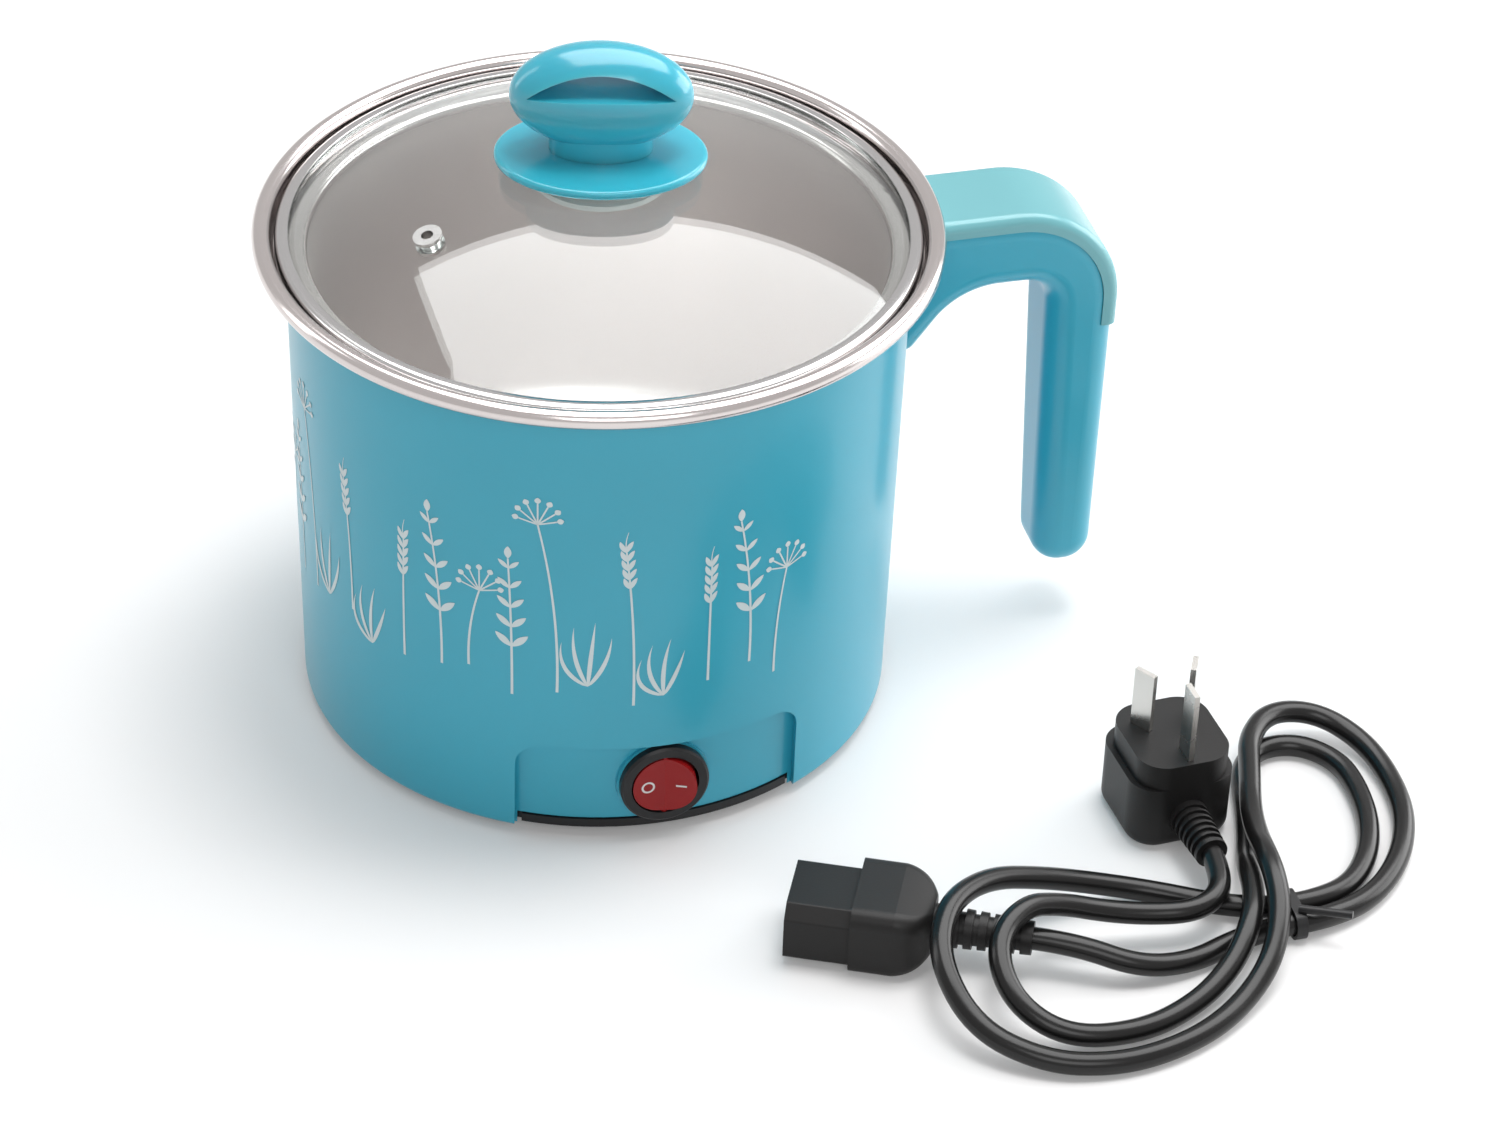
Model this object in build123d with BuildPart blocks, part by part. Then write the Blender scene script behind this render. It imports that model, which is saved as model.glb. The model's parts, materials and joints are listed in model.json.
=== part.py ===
from build123d import *
import os
from math import asin, cos, degrees, radians, sin, sqrt, tan

# A round electric multicooker, 180 mm across its rolled rim, with a loose domed glass lid,
# an open L-shaped handle, a round rocker switch and a detachable mains lead.
# Millimetres. The origin is on the table, on the axis of the pot.
# The switch faces -Y, the handle points along +X and the power inlet faces +Y.

# Pot
rim_diameter = 180.0
rim_top = 142.5
rim_bead = 4.8
ledge_width = 10.2
pot_wall = 0.8
pot_floor = 38.0
pot_corner = 8.0
lid_seat_depth = 6.5
ledge_corner = 1.6

# Outer shell
shell_bottom = 2.5
shell_inset = 8.4
shell_flare = 2.1
shell_wall = 2.6
shell_bottom_round = 2.0
panel_half_width = 38.0
panel_corner = 7.0
panel_top = 31.2
panel_depth = 2.4
panel_overlap = 3.0
lip_end_gap = 1.0
post_inset = 13.5
post_radius = 4.0
post_height = 15.0
post_rib = 2.4
post_pilot = 1.3

# Base
cover_thickness = 2.5
cover_recess = 1.0
cover_gap = 0.5
lip_gap = 0.3
foot_inset = 19.5
foot_radius = 7.0
foot_stem_radius = 2.4
foot_stem_grip = 1.2
foot_peg_gap = 0.1
vent_slot_length = 24.0
vent_slot_width = 3.0
vent_slot_pitch = 7.0
vent_slot_rows = 5
base_screw_head = 3.4
base_screw_head_height = 1.6
base_screw_shank = 1.25
base_screw_grip = 9.0

# Heating parts under the pot
plate_inset = 20.0
plate_thickness = 5.0
element_inset = 17.0
element_radius = 3.2
element_arc = 300.0
element_gap = 0.1
element_pin_radius = 1.4
element_pin_drop = 8.0
element_pin_inset = 4.0
thermostat_radius = 8.0
thermostat_height = 8.0
thermostat_tab = 6.3
tab_thickness = 0.8
tab_length = 8.0
fuse_radius = 2.0
fuse_length = 12.0
fuse_shift = 1.0

# Rocker switch
switch_height = 18.2
bezel_radius = 11.9
bezel_thickness = 2.5
pad_radius = 12.5
pad_proud = 0.6
switch_body_radius = 10.4
switch_body_depth = 18.0
switch_hole_gap = 0.2
rocker_radius = 8.4
rocker_well_gap = 0.7
rocker_depth = 4.0
rocker_rise = 1.9
rocker_valley = 0.3
rocker_tilt = 9.0
rocker_well_depth = 9.0
rocker_pin_radius = 0.9
rocker_pin_gap = 0.05
rocker_pin_reach = 1.4
switch_tab_spacing = 5.0

# Power inlet
inlet_height = 19.0
flange_width = 48.0
flange_height = 21.0
flange_thickness = 2.2
flange_corner = 4.0
inlet_body_width = 28.0
inlet_body_height = 20.0
inlet_body_depth = 20.0
inlet_gap = 0.3
pocket_margin = 1.2
pocket_sink = 0.5
mouth_width = 24.6
mouth_height = 16.6
mouth_depth = 16.0
mouth_chamfer = 3.6
pin_width = 4.0
pin_thickness = 2.0
pin_spacing = 14.0
pin_row_offset = 2.0
pin_reach = 12.5
pin_tail = 7.0
inlet_screw_spacing = 40.0
inlet_screw_head = 3.0
inlet_screw_head_height = 1.6
inlet_screw_shank = 1.4
inlet_screw_grip = 6.0

# Handle
handle_drop = 5.2
root_depth = 40.7
finger_gap = 39.4
handle_width = 28.0
handle_tip_width = 21.0
handle_tip = 18.0
grip_thickness = 19.2
grip_tip_thickness = 16.6
arm_depth = 23.1
arm_bend = 15.6
arm_round = 20.0
handle_outer_round = 30.0
handle_inner_round = 7.0
handle_edge_round = 7.0
handle_tip_flat = 0.8
root_rise = 2.0
root_reach = 3.0
root_round = 3.0
cap_thickness = 4.6
cap_length = 38.0
cap_edge_round = 2.6
cap_gap = 0.1
root_gap = 0.1
handle_screw_spacing = 22.0
handle_screw_head = 3.6
handle_screw_head_height = 1.8
handle_screw_shank = 1.8
handle_screw_grip = 14.0
handle_screw_spare = 1.0

# Lid
lid_side_gap = 1.0
lid_rest_gap = 0.2
band_width = 3.6
band_sheet = 0.6
band_bottom_round = 1.2
band_top_round = 1.8
glass_thickness = 3.5
glass_gap = 0.1
dome_rise = 20.4
vent_inset = 29.9
vent_angle = 197.3
vent_flange = 3.8
vent_flange_height = 0.9
vent_bore = 1.6
vent_sleeve = 2.5
lid_part_gap = 0.1

# Knob
knob_turn = -13.7
gasket_radius = 17.0
gasket_thickness = 1.2
skirt_half_width = 27.5
skirt_half_depth = 21.0
skirt_thickness = 2.6
skirt_lift = 0.6
skirt_edge = 1.1
skirt_crown = 0.8
gasket_margin = 1.0
neck_half_width = 13.4
neck_half_depth = 8.3
neck_height = 1.4
neck_bury = 5.0
grip_half_width = 23.6
grip_half_depth = 11.5
knob_grip_height = 28.8
finger_half_width = 19.0
finger_corner_rise = 2.0
finger_floor_rise = 3.7
finger_top_rise = 10.0
lid_washer_radius = 18.0
lid_washer_thickness = 2.4
plate_washer_radius = 9.0
plate_washer_thickness = 1.0
knob_screw_radius = 2.0
knob_screw_head = 4.0
knob_screw_head_height = 2.4
knob_screw_depth = 4.6
screw_hole_gap = 0.1

# Mains lead
cord_diameter = 6.0
cord_end_gap = 0.02
connector_cord_run = 11.0
plug_cord_run = 8.9
connector_spot = (22.3, -124.8)
connector_turn = -25.0
nose_width = 24.0
nose_height = 16.0
nose_length = 17.0
nose_chamfer = 3.4
nose_bottom_round = 1.5
nose_top_round = 1.0
contact_slot_width = 2.6
contact_slot_height = 4.6
contact_slot_depth = 14.0
contact_wall = 0.2
hood_width = 26.5
hood_height = 20.0
hood_length = 11.0
hood_taper = 9.0
hood_corner = 4.0
hood_middle_width = 23.6
hood_middle_height = 17.6
hood_middle = 5.0
hood_end_width = 14.0
hood_end_height = 12.8
relief_radius = 5.6
relief_end_radius = 4.4
relief_length = 25.5
relief_ribs = 7
relief_groove = 1.5
relief_groove_depth = 1.0
relief_first = 0.8
plug_spot = (132.5, -98.5)
plug_turn = -86.0
plug_half_width = 14.5
plug_back = 15.0
plug_front = 15.0
plug_body_height = 20.0
plug_face_height = 27.5
plug_face_inset = 1.6
plug_round = 8.0
plug_bottom_round = 4.0
plug_relief_height = 10.2
plug_relief_length = 16.0
blade_width = 6.3
blade_thickness = 1.5
blade_length = 18.0
earth_blade_length = 21.0
blade_embed = 6.0
blade_circle = 7.92
blade_spread = 60.0
earth_blade_offset = 10.31
blade_slant = 30.0
blade_pocket_gap = 0.05
tie_spot = (150.0, -150.6, 4.2)
tie_strand_spacing = 7.3
tie_width = 3.0
tie_sheet = 0.8
tie_gap = 0.3
tie_tail = 14.0
tie_tail_radius = 1.1
tie_tail_way = (0.84, -0.52, 0.12)

# Leads inside the base
lead_diameter = 2.4
lead_gap = 0.5
lead_run = 6.0
lead_rise = 4.0
lead_inset = 22.0


def closed_outline(*corners):
    """A closed outline through corners given as (x, y, corner radius)."""
    points = [(x, y) for x, y, radius in corners]
    radii = [radius for x, y, radius in corners]
    return FilletPolyline(*points, radius=radii, close=True)


def radial_plane(angle):
    """The upright plane through the pot axis at an azimuth, local x outward and local y up."""
    turn = radians(angle)
    return Plane(origin=(0, 0, 0), x_dir=(cos(turn), sin(turn), 0), z_dir=(sin(turn), -cos(turn), 0))


def heading_plane(spot, height, angle):
    """A plane that faces along an azimuth, local x to its left and local y up."""
    turn = radians(angle)
    return Plane(
        origin=(spot[0], spot[1], height),
        x_dir=(-sin(turn), cos(turn), 0),
        z_dir=(cos(turn), sin(turn), 0),
    )


def arc_radii(points):
    """The largest tangent arc at each inner point: 0.45 of the shorter run over tan(half the turn)."""
    radii = []
    for before, here, after in zip(points, points[1:], points[2:]):
        run_in = Vector(*here) - Vector(*before)
        run_out = Vector(*after) - Vector(*here)
        turn = radians(run_in.get_angle(run_out))
        radii.append(0.45 * min(run_in.length, run_out.length) / tan(turn / 2))
    return radii


def save(builder, name):
    """Label a finished piece and write it to its own file."""
    builder.part.label = name
    export_step(builder.part, f"parts/{name}.step")


os.makedirs("parts", exist_ok=True)

# Heights and radii that several pieces share
rim_radius = rim_diameter / 2
bead_radius = rim_bead / 2
bead_circle = rim_radius - bead_radius
bead_height = rim_top - bead_radius
seat_radius = rim_radius - rim_bead
ledge_top = rim_top - lid_seat_depth
ledge_bottom = ledge_top - pot_wall
bore_radius = seat_radius - ledge_width
shell_radius_top = rim_radius - shell_inset
shell_radius_bottom = shell_radius_top - shell_flare
post_circle = shell_radius_bottom - post_inset
foot_circle = shell_radius_bottom - foot_inset
plate_radius = bore_radius - plate_inset
element_circle = plate_radius - element_inset
fuse_offset = (thermostat_radius + element_circle) / 2 - fuse_shift
panel_half_angle = degrees(asin(panel_half_width / shell_radius_bottom))
pot_under = pot_floor - pot_wall
shell_top = ledge_bottom
shell_slope = shell_flare / (shell_top - shell_bottom)


def shell_radius(height):
    """Outer radius of the slightly flared shell at a height."""
    return shell_radius_bottom + shell_slope * (height - shell_bottom)


cover_bottom = shell_bottom + cover_recess
cover_top = cover_bottom + cover_thickness
post_bottom = cover_top
panel_bottom = cover_top + lip_gap
panel_radius = shell_radius(switch_height) - panel_depth
pad_face = panel_radius + pad_proud
panel_back = pad_face - panel_depth - shell_wall
pocket_half_width = flange_width / 2 + pocket_margin
pocket_half_height = flange_height / 2 + pocket_margin
pocket_face = sqrt(shell_radius(inlet_height) ** 2 - pocket_half_width**2) - pocket_sink
pocket_back = pocket_face - shell_wall
plate_under = pot_under - plate_thickness
handle_top = rim_top - handle_drop
handle_root_bottom = handle_top - root_depth
handle_screw_middle = (handle_top + handle_root_bottom) / 2

# Inner pot: pressed steel with a stepped lid seat and a rolled rim
with BuildPart() as inner_pot:
    with BuildSketch(Plane.XZ):
        with BuildLine():
            closed_outline(
                (0, pot_under, 0),
                (bore_radius + pot_wall, pot_under, pot_corner + pot_wall),
                (bore_radius + pot_wall, ledge_bottom, ledge_corner - pot_wall),
                (seat_radius + pot_wall, ledge_bottom, ledge_corner),
                (seat_radius + pot_wall, bead_height, 0),
                (seat_radius, bead_height, 0),
                (seat_radius, ledge_top, ledge_corner - pot_wall),
                (bore_radius, ledge_top, ledge_corner),
                (bore_radius, pot_floor, pot_corner),
                (0, pot_floor, 0),
            )
        make_face()
        with Locations((bead_circle, bead_height)):
            Circle(bead_radius)
    revolve(axis=Axis.Z)
save(inner_pot, "inner_pot")

# Outer shell: flared plastic wall with a recessed front panel, a flat inlet pocket and screw posts
post_angles = [45, 135, 225, 315]
panel_start = -90 - panel_half_angle
pad_plane = Plane(origin=(0, -pad_face, switch_height), x_dir=(1, 0, 0), z_dir=(0, -1, 0))
pocket_plane = Plane(origin=(0, pocket_face, inlet_height), x_dir=(-1, 0, 0), z_dir=(0, 1, 0))
with BuildPart() as outer_shell:
    with BuildSketch(Plane.XZ):
        with BuildLine():
            closed_outline(
                (shell_radius_bottom - shell_wall, shell_bottom, 0),
                (shell_radius_bottom, shell_bottom, shell_bottom_round),
                (shell_radius_top, shell_top, 0),
                (shell_radius_top - shell_wall, shell_top, 0),
            )
        make_face()
    revolve(axis=Axis.Z)
    # Thicker wall behind the recessed panel
    with BuildSketch(radial_plane(panel_start - panel_overlap)):
        with BuildLine():
            Polyline(
                (shell_radius(panel_bottom) - panel_depth - shell_wall, panel_bottom),
                (shell_radius(panel_bottom) - shell_wall / 2, panel_bottom),
                (shell_radius(panel_top) - shell_wall / 2, panel_top + panel_depth),
                (shell_radius(panel_top) - shell_wall, panel_top + panel_depth),
                (shell_radius(panel_top) - panel_depth - shell_wall, panel_top),
                close=True,
            )
        make_face()
    revolve(axis=Axis.Z, revolution_arc=2 * (panel_half_angle + panel_overlap))
    # Pad behind the inlet, and posts with ribs to the wall
    with BuildSketch(pocket_plane.offset(-shell_wall)):
        RectangleRounded(
            2 * (pocket_half_width + shell_wall), 2 * pocket_half_height, flange_corner
        )
    extrude(amount=shell_radius(inlet_height) - shell_wall - pocket_back)
    with BuildSketch(Plane.XY.offset(post_bottom)):
        for angle in post_angles:
            with Locations(Location((0, 0, 0), (0, 0, angle))):
                with Locations((post_circle, 0)):
                    Circle(post_radius)
                with Locations(((post_circle + shell_radius_bottom - shell_wall / 2) / 2, 0)):
                    Rectangle(shell_radius_bottom - shell_wall / 2 - post_circle, post_rib)
    extrude(amount=post_height)
    # Recessed panel, its open foot and the flat pad that carries the switch
    with BuildPart(mode=Mode.PRIVATE) as recess:
        with BuildSketch(Plane.XZ):
            with BuildLine():
                Polyline(
                    (shell_radius(0) - panel_depth, 0),
                    (shell_radius(0) + panel_depth, 0),
                    (shell_radius(panel_top) + panel_depth, panel_top),
                    (shell_radius(panel_top) - panel_depth, panel_top),
                    close=True,
                )
            make_face()
        revolve(axis=Axis.Z)
        with BuildSketch(Plane.XZ):
            RectangleRounded(2 * panel_half_width, 2 * panel_top, panel_corner)
        extrude(amount=rim_radius, mode=Mode.INTERSECT)
    add(recess.part, mode=Mode.SUBTRACT)
    with BuildSketch(pad_plane):
        Circle(pad_radius)
    extrude(amount=panel_back - pad_face)
    with BuildSketch(radial_plane(panel_start)):
        with Locations((shell_radius_bottom, panel_bottom / 2)):
            Rectangle(2 * (shell_radius_bottom - post_circle), panel_bottom)
    revolve(axis=Axis.Z, revolution_arc=2 * panel_half_angle, mode=Mode.SUBTRACT)
    with BuildSketch(pad_plane):
        Circle(switch_body_radius + switch_hole_gap)
    extrude(amount=-2 * (pad_face - panel_back), both=True, mode=Mode.SUBTRACT)
    # Flat inlet pocket, the window for the inlet body and the screw pilots
    with BuildSketch(pocket_plane):
        RectangleRounded(2 * pocket_half_width, 2 * pocket_half_height, flange_corner)
    extrude(amount=shell_radius_top, mode=Mode.SUBTRACT)
    with BuildSketch(pocket_plane):
        Rectangle(inlet_body_width + 2 * inlet_gap, inlet_body_height + 2 * inlet_gap)
        with GridLocations(inlet_screw_spacing, 0, 2, 1):
            Circle(inlet_screw_shank + screw_hole_gap)
    extrude(amount=-4 * shell_wall, mode=Mode.SUBTRACT)
    # Pilots for the base screws and holes for the handle screws
    with BuildSketch(Plane.XY.offset(post_bottom)):
        with PolarLocations(post_circle, len(post_angles), post_angles[0]):
            Circle(post_pilot)
    extrude(amount=post_height - post_pilot, mode=Mode.SUBTRACT)
    with BuildSketch(Plane.YZ.offset(bore_radius)):
        with Locations((0, handle_screw_middle)):
            with GridLocations(0, handle_screw_spacing, 1, 2):
                Circle(handle_screw_shank + screw_hole_gap)
    extrude(amount=rim_radius - bore_radius, mode=Mode.SUBTRACT)
save(outer_shell, "outer_shell")

# Base cover: black plastic plate with a front lip, air slots and countersunk screw holes
cover_radius = shell_radius_bottom - shell_wall - cover_gap
lip_radius = shell_radius(panel_bottom) - panel_depth
foot_angles = [0, 90, 180, 270]
with BuildPart() as base_cover:
    with BuildSketch(Plane.XY.offset(cover_bottom)):
        Circle(cover_radius)
    extrude(amount=cover_thickness)
    with BuildSketch(radial_plane(panel_start + lip_end_gap)):
        with Locations(((cover_radius + lip_radius) / 2, (cover_bottom + cover_top) / 2)):
            Rectangle(lip_radius - cover_radius + 2 * cover_gap, cover_thickness)
    revolve(axis=Axis.Z, revolution_arc=2 * (panel_half_angle - lip_end_gap))
    with BuildSketch(Plane.XY.offset(cover_bottom)):
        with GridLocations(0, vent_slot_pitch, 1, vent_slot_rows):
            SlotOverall(vent_slot_length, vent_slot_width)
        with PolarLocations(foot_circle, len(foot_angles)):
            Circle(foot_stem_radius + foot_peg_gap)
        with PolarLocations(post_circle, len(post_angles), post_angles[0]):
            Circle(base_screw_shank + screw_hole_gap)
    extrude(amount=cover_thickness, mode=Mode.SUBTRACT)
    with BuildSketch(Plane.XY.offset(cover_bottom)):
        with PolarLocations(post_circle, len(post_angles), post_angles[0]):
            Circle(base_screw_head + screw_hole_gap)
    extrude(amount=base_screw_head_height, mode=Mode.SUBTRACT)
save(base_cover, "base_cover")

# Four rubber feet, each with a stem pushed through the cover
for number, angle in enumerate(foot_angles, start=1):
    foot_spot = (foot_circle * cos(radians(angle)), foot_circle * sin(radians(angle)))
    with BuildPart() as rubber_foot:
        with BuildSketch():
            with Locations(foot_spot):
                Circle(foot_radius)
        extrude(amount=cover_bottom)
        chamfer(rubber_foot.faces().sort_by(Axis.Z)[0].edges(), cover_bottom / 4)
        with BuildSketch(Plane.XY.offset(cover_bottom)):
            with Locations(foot_spot):
                Circle(foot_stem_radius)
        extrude(amount=cover_thickness + foot_stem_grip)
    save(rubber_foot, f"rubber_foot_{number}")

# Base screws, heads sunk in the cover
with BuildPart() as base_screws:
    with BuildSketch(Plane.XY.offset(cover_bottom)):
        with PolarLocations(post_circle, len(post_angles), post_angles[0]):
            Circle(base_screw_head)
    extrude(amount=base_screw_head_height)
    with BuildSketch(Plane.XY.offset(cover_bottom)):
        with PolarLocations(post_circle, len(post_angles), post_angles[0]):
            Circle(base_screw_shank)
    extrude(amount=base_screw_head_height + base_screw_grip)
save(base_screws, "base_screws")

# Heating plate with a half-round groove for the element
element_start = 90 + (360 - element_arc) / 2
with BuildPart() as heating_plate:
    with BuildSketch(Plane.XY.offset(plate_under)):
        Circle(plate_radius)
    extrude(amount=plate_thickness)
    with BuildSketch(Plane.XZ):
        with Locations((element_circle, plate_under)):
            Circle(element_radius + element_gap)
    revolve(axis=Axis.Z, mode=Mode.SUBTRACT)
save(heating_plate, "heating_plate")

# Tubular element, an open ring with a pin at each end
element_pin_angles = [
    element_start + element_pin_inset,
    element_start + element_arc - element_pin_inset,
]
with BuildPart() as heating_element:
    with BuildSketch(radial_plane(element_start)):
        with Locations((element_circle, plate_under)):
            Circle(element_radius)
    revolve(axis=Axis.Z, revolution_arc=element_arc)
    with BuildSketch(Plane.XY.offset(plate_under - element_radius - element_pin_drop)):
        for angle in element_pin_angles:
            with Locations(Location((0, 0, 0), (0, 0, angle))):
                with Locations((element_circle, 0)):
                    Circle(element_pin_radius)
    extrude(amount=element_pin_drop + element_radius)
save(heating_element, "heating_element")

# Thermostat: snap disc can under the middle of the plate, with two tabs
with BuildPart() as thermostat:
    with BuildSketch(Plane.XY.offset(plate_under)):
        Circle(thermostat_radius)
    extrude(amount=-thermostat_height)
    with BuildSketch(Plane.XY.offset(plate_under - thermostat_height)):
        with GridLocations(thermostat_radius, 0, 2, 1):
            Rectangle(tab_thickness, thermostat_tab)
    extrude(amount=-tab_length / 2)
save(thermostat, "thermostat")

# Thermal fuse in its sleeve, against the plate
with BuildPart() as thermal_fuse:
    with BuildSketch(Plane.YZ.offset(-fuse_length / 2)):
        with Locations((fuse_offset, plate_under - fuse_radius)):
            Circle(fuse_radius)
    extrude(amount=fuse_length)
save(thermal_fuse, "thermal_fuse")

# Switch housing: raised bezel, round body and the well that the rocker swings in
pivot_depth = bezel_thickness / 2
pivot_y = -(pad_face + pivot_depth)
well_radius = rocker_radius + rocker_well_gap
with BuildPart() as switch_housing:
    with BuildSketch(pad_plane):
        Circle(bezel_radius)
    extrude(amount=bezel_thickness)
    chamfer(switch_housing.faces().sort_by(Axis.Y)[0].edges(), bezel_thickness / 4)
    with BuildSketch(pad_plane):
        Circle(switch_body_radius)
    extrude(amount=-switch_body_depth)
    with BuildSketch(pad_plane.offset(bezel_thickness)):
        Circle(well_radius)
    extrude(amount=-rocker_well_depth, mode=Mode.SUBTRACT)
    with BuildSketch(Plane.XY.offset(switch_height)):
        with Locations((0, pivot_y)):
            Circle(rocker_pin_radius + rocker_pin_gap)
    extrude(amount=well_radius + rocker_pin_reach, both=True, mode=Mode.SUBTRACT)
    with BuildSketch(pad_plane.offset(-switch_body_depth)):
        with GridLocations(2 * switch_tab_spacing, 0, 2, 1):
            Rectangle(tab_thickness, thermostat_tab)
    extrude(amount=tab_length / 2, mode=Mode.SUBTRACT)
save(switch_housing, "switch_housing")

# Switch tabs, set in slots in the back of the housing
with BuildPart() as switch_tabs:
    with BuildSketch(pad_plane.offset(-switch_body_depth)):
        with GridLocations(2 * switch_tab_spacing, 0, 2, 1):
            Rectangle(tab_thickness, thermostat_tab)
    extrude(amount=tab_length / 2)
    extrude(switch_tabs.faces().sort_by(Axis.Y)[-2:], amount=tab_length)
save(switch_tabs, "switch_tabs")

# Rocker: round, with a shallow valley, swinging about an upright pin; its left half is pressed in
with BuildPart() as switch_rocker:
    with BuildSketch(Plane.XY.offset(switch_height - rocker_radius)):
        with BuildLine():
            Polyline(
                (-rocker_radius, pivot_y + rocker_depth),
                (-rocker_radius, pivot_y - pivot_depth - rocker_rise + rocker_valley),
                (0, pivot_y - pivot_depth + rocker_valley),
                (rocker_radius, pivot_y - pivot_depth - rocker_rise + rocker_valley),
                (rocker_radius, pivot_y + rocker_depth),
                close=True,
            )
        make_face()
    extrude(amount=2 * rocker_radius)
    with BuildSketch(pad_plane.offset(bezel_thickness + 2 * rocker_rise)):
        Circle(rocker_radius)
    extrude(amount=-4 * rocker_depth - 2 * rocker_rise, mode=Mode.INTERSECT)
    with BuildSketch(Plane.XY.offset(switch_height)):
        with Locations((0, pivot_y)):
            Circle(rocker_pin_radius)
    extrude(amount=well_radius + rocker_pin_reach - rocker_pin_gap, both=True)
rocker_axis = Axis((0, pivot_y, switch_height), (0, 0, 1))
switch_rocker.part = switch_rocker.part.rotate(rocker_axis, -rocker_tilt)
save(switch_rocker, "switch_rocker")

# Power inlet: flanged body with a polarised mouth
inlet_front = pocket_plane.offset(flange_thickness)
pin_spots = [
    (-pin_spacing / 2, -pin_row_offset),
    (pin_spacing / 2, -pin_row_offset),
    (0, pin_row_offset),
]
with BuildPart() as power_inlet:
    with BuildSketch(pocket_plane):
        RectangleRounded(flange_width, flange_height, flange_corner)
    extrude(amount=flange_thickness)
    with BuildSketch(pocket_plane):
        Rectangle(inlet_body_width, inlet_body_height)
    extrude(amount=-inlet_body_depth)
    with BuildSketch(inlet_front):
        with BuildLine():
            Polyline(
                (-mouth_width / 2, -mouth_height / 2),
                (mouth_width / 2, -mouth_height / 2),
                (mouth_width / 2, mouth_height / 2 - mouth_chamfer),
                (mouth_width / 2 - mouth_chamfer, mouth_height / 2),
                (mouth_chamfer - mouth_width / 2, mouth_height / 2),
                (-mouth_width / 2, mouth_height / 2 - mouth_chamfer),
                close=True,
            )
        make_face()
    extrude(amount=-mouth_depth, mode=Mode.SUBTRACT)
    with BuildSketch(inlet_front.offset(-mouth_depth)):
        with Locations(*pin_spots):
            Rectangle(pin_thickness, pin_width)
    extrude(amount=-inlet_body_depth, mode=Mode.SUBTRACT)
    with BuildSketch(pocket_plane):
        with GridLocations(inlet_screw_spacing, 0, 2, 1):
            Circle(inlet_screw_shank + screw_hole_gap)
    extrude(amount=flange_thickness, mode=Mode.SUBTRACT)
save(power_inlet, "power_inlet")

# Inlet pins, running through the back of the mouth to solder tails
inlet_back = inlet_body_depth + flange_thickness - mouth_depth
with BuildPart() as inlet_pins:
    with BuildSketch(inlet_front.offset(pin_reach - mouth_depth)):
        with Locations(*pin_spots):
            Rectangle(pin_thickness, pin_width)
    extrude(amount=-(pin_reach + inlet_back + pin_tail))
save(inlet_pins, "inlet_pins")

# Inlet screws
with BuildPart() as inlet_screws:
    with BuildSketch(inlet_front):
        with GridLocations(inlet_screw_spacing, 0, 2, 1):
            Circle(inlet_screw_head)
    extrude(amount=inlet_screw_head_height)
    with BuildSketch(inlet_front):
        with GridLocations(inlet_screw_spacing, 0, 2, 1):
            Circle(inlet_screw_shank)
    extrude(amount=-(flange_thickness + inlet_screw_grip))
save(inlet_screws, "inlet_screws")

# Handle: one L-shaped form, parted into a rounded body and a top cap
grip_inner_top = shell_radius_top + finger_gap
handle_reach = grip_inner_top + grip_thickness
grip_inner_tip = handle_reach - grip_tip_thickness
tip_round = (grip_tip_thickness - handle_tip_flat) / 2
arm_under = handle_top - arm_depth
root_radius = shell_radius(handle_root_bottom)
cap_end = handle_top - cap_length
corner_x = handle_reach - handle_outer_round
corner_z = handle_top - handle_outer_round


def handle_form():
    """The whole handle with sharp edges: its side outline, narrowed towards the tip."""
    with BuildPart(mode=Mode.PRIVATE) as form:
        with BuildSketch(Plane.XZ):
            with BuildLine():
                closed_outline(
                    (bore_radius, handle_root_bottom - root_rise, 0),
                    (root_radius + root_reach, handle_root_bottom, root_round),
                    (root_radius + arm_bend, arm_under, arm_round),
                    (grip_inner_top, arm_under, handle_inner_round),
                    (grip_inner_tip, handle_tip, tip_round),
                    (handle_reach, handle_tip, tip_round),
                    (handle_reach, handle_top, handle_outer_round),
                    (bore_radius, handle_top, 0),
                )
            make_face()
        extrude(amount=handle_width, both=True)
        with BuildSketch(Plane.YZ.offset(bore_radius)):
            with BuildLine():
                Polyline(
                    (-handle_tip_width / 2, handle_tip),
                    (handle_tip_width / 2, handle_tip),
                    (handle_width / 2, handle_top),
                    (-handle_width / 2, handle_top),
                    close=True,
                )
            make_face()
        extrude(amount=handle_reach, mode=Mode.INTERSECT)
    return form.part


def side_edge(edge):
    """True for the long edges along the handle's two sides, away from the root."""
    spot = edge.center()
    return abs(spot.Y) > handle_tip_width / 4 and spot.X > bore_radius + pot_wall


def outside_edge(edge):
    """True for the side edges that lie on the handle's top or outer face."""
    spot = edge.center()
    near = cap_thickness / 4
    past_x = max(spot.X - corner_x, 0)
    past_z = max(spot.Z - corner_z, 0)
    return side_edge(edge) and sqrt(past_x**2 + past_z**2) > handle_outer_round - near


def cap_region(inset):
    """Outline of the band under the handle's top and outer corner that belongs to the cap."""
    depth = cap_thickness - inset
    return closed_outline(
        (bore_radius, handle_top + depth, 0),
        (handle_reach + depth, handle_top + depth, 0),
        (handle_reach + depth, cap_end + inset, 0),
        (handle_reach - depth, cap_end + inset, 0),
        (handle_reach - depth, handle_top - depth, handle_outer_round - depth),
        (bore_radius, handle_top - depth, 0),
    )


# The room that the shell and the pot's lid seat take up
with BuildPart(mode=Mode.PRIVATE) as wall_space:
    with BuildSketch(Plane.XZ):
        with BuildLine():
            Polyline(
                (0, 0),
                (shell_radius(0) + root_gap, 0),
                (shell_radius(shell_top) + root_gap, shell_top - root_gap),
                (seat_radius + pot_wall + root_gap, shell_top - root_gap),
                (seat_radius + pot_wall + root_gap, rim_top),
                (0, rim_top),
                close=True,
            )
        make_face()
    revolve(axis=Axis.Z)

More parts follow.
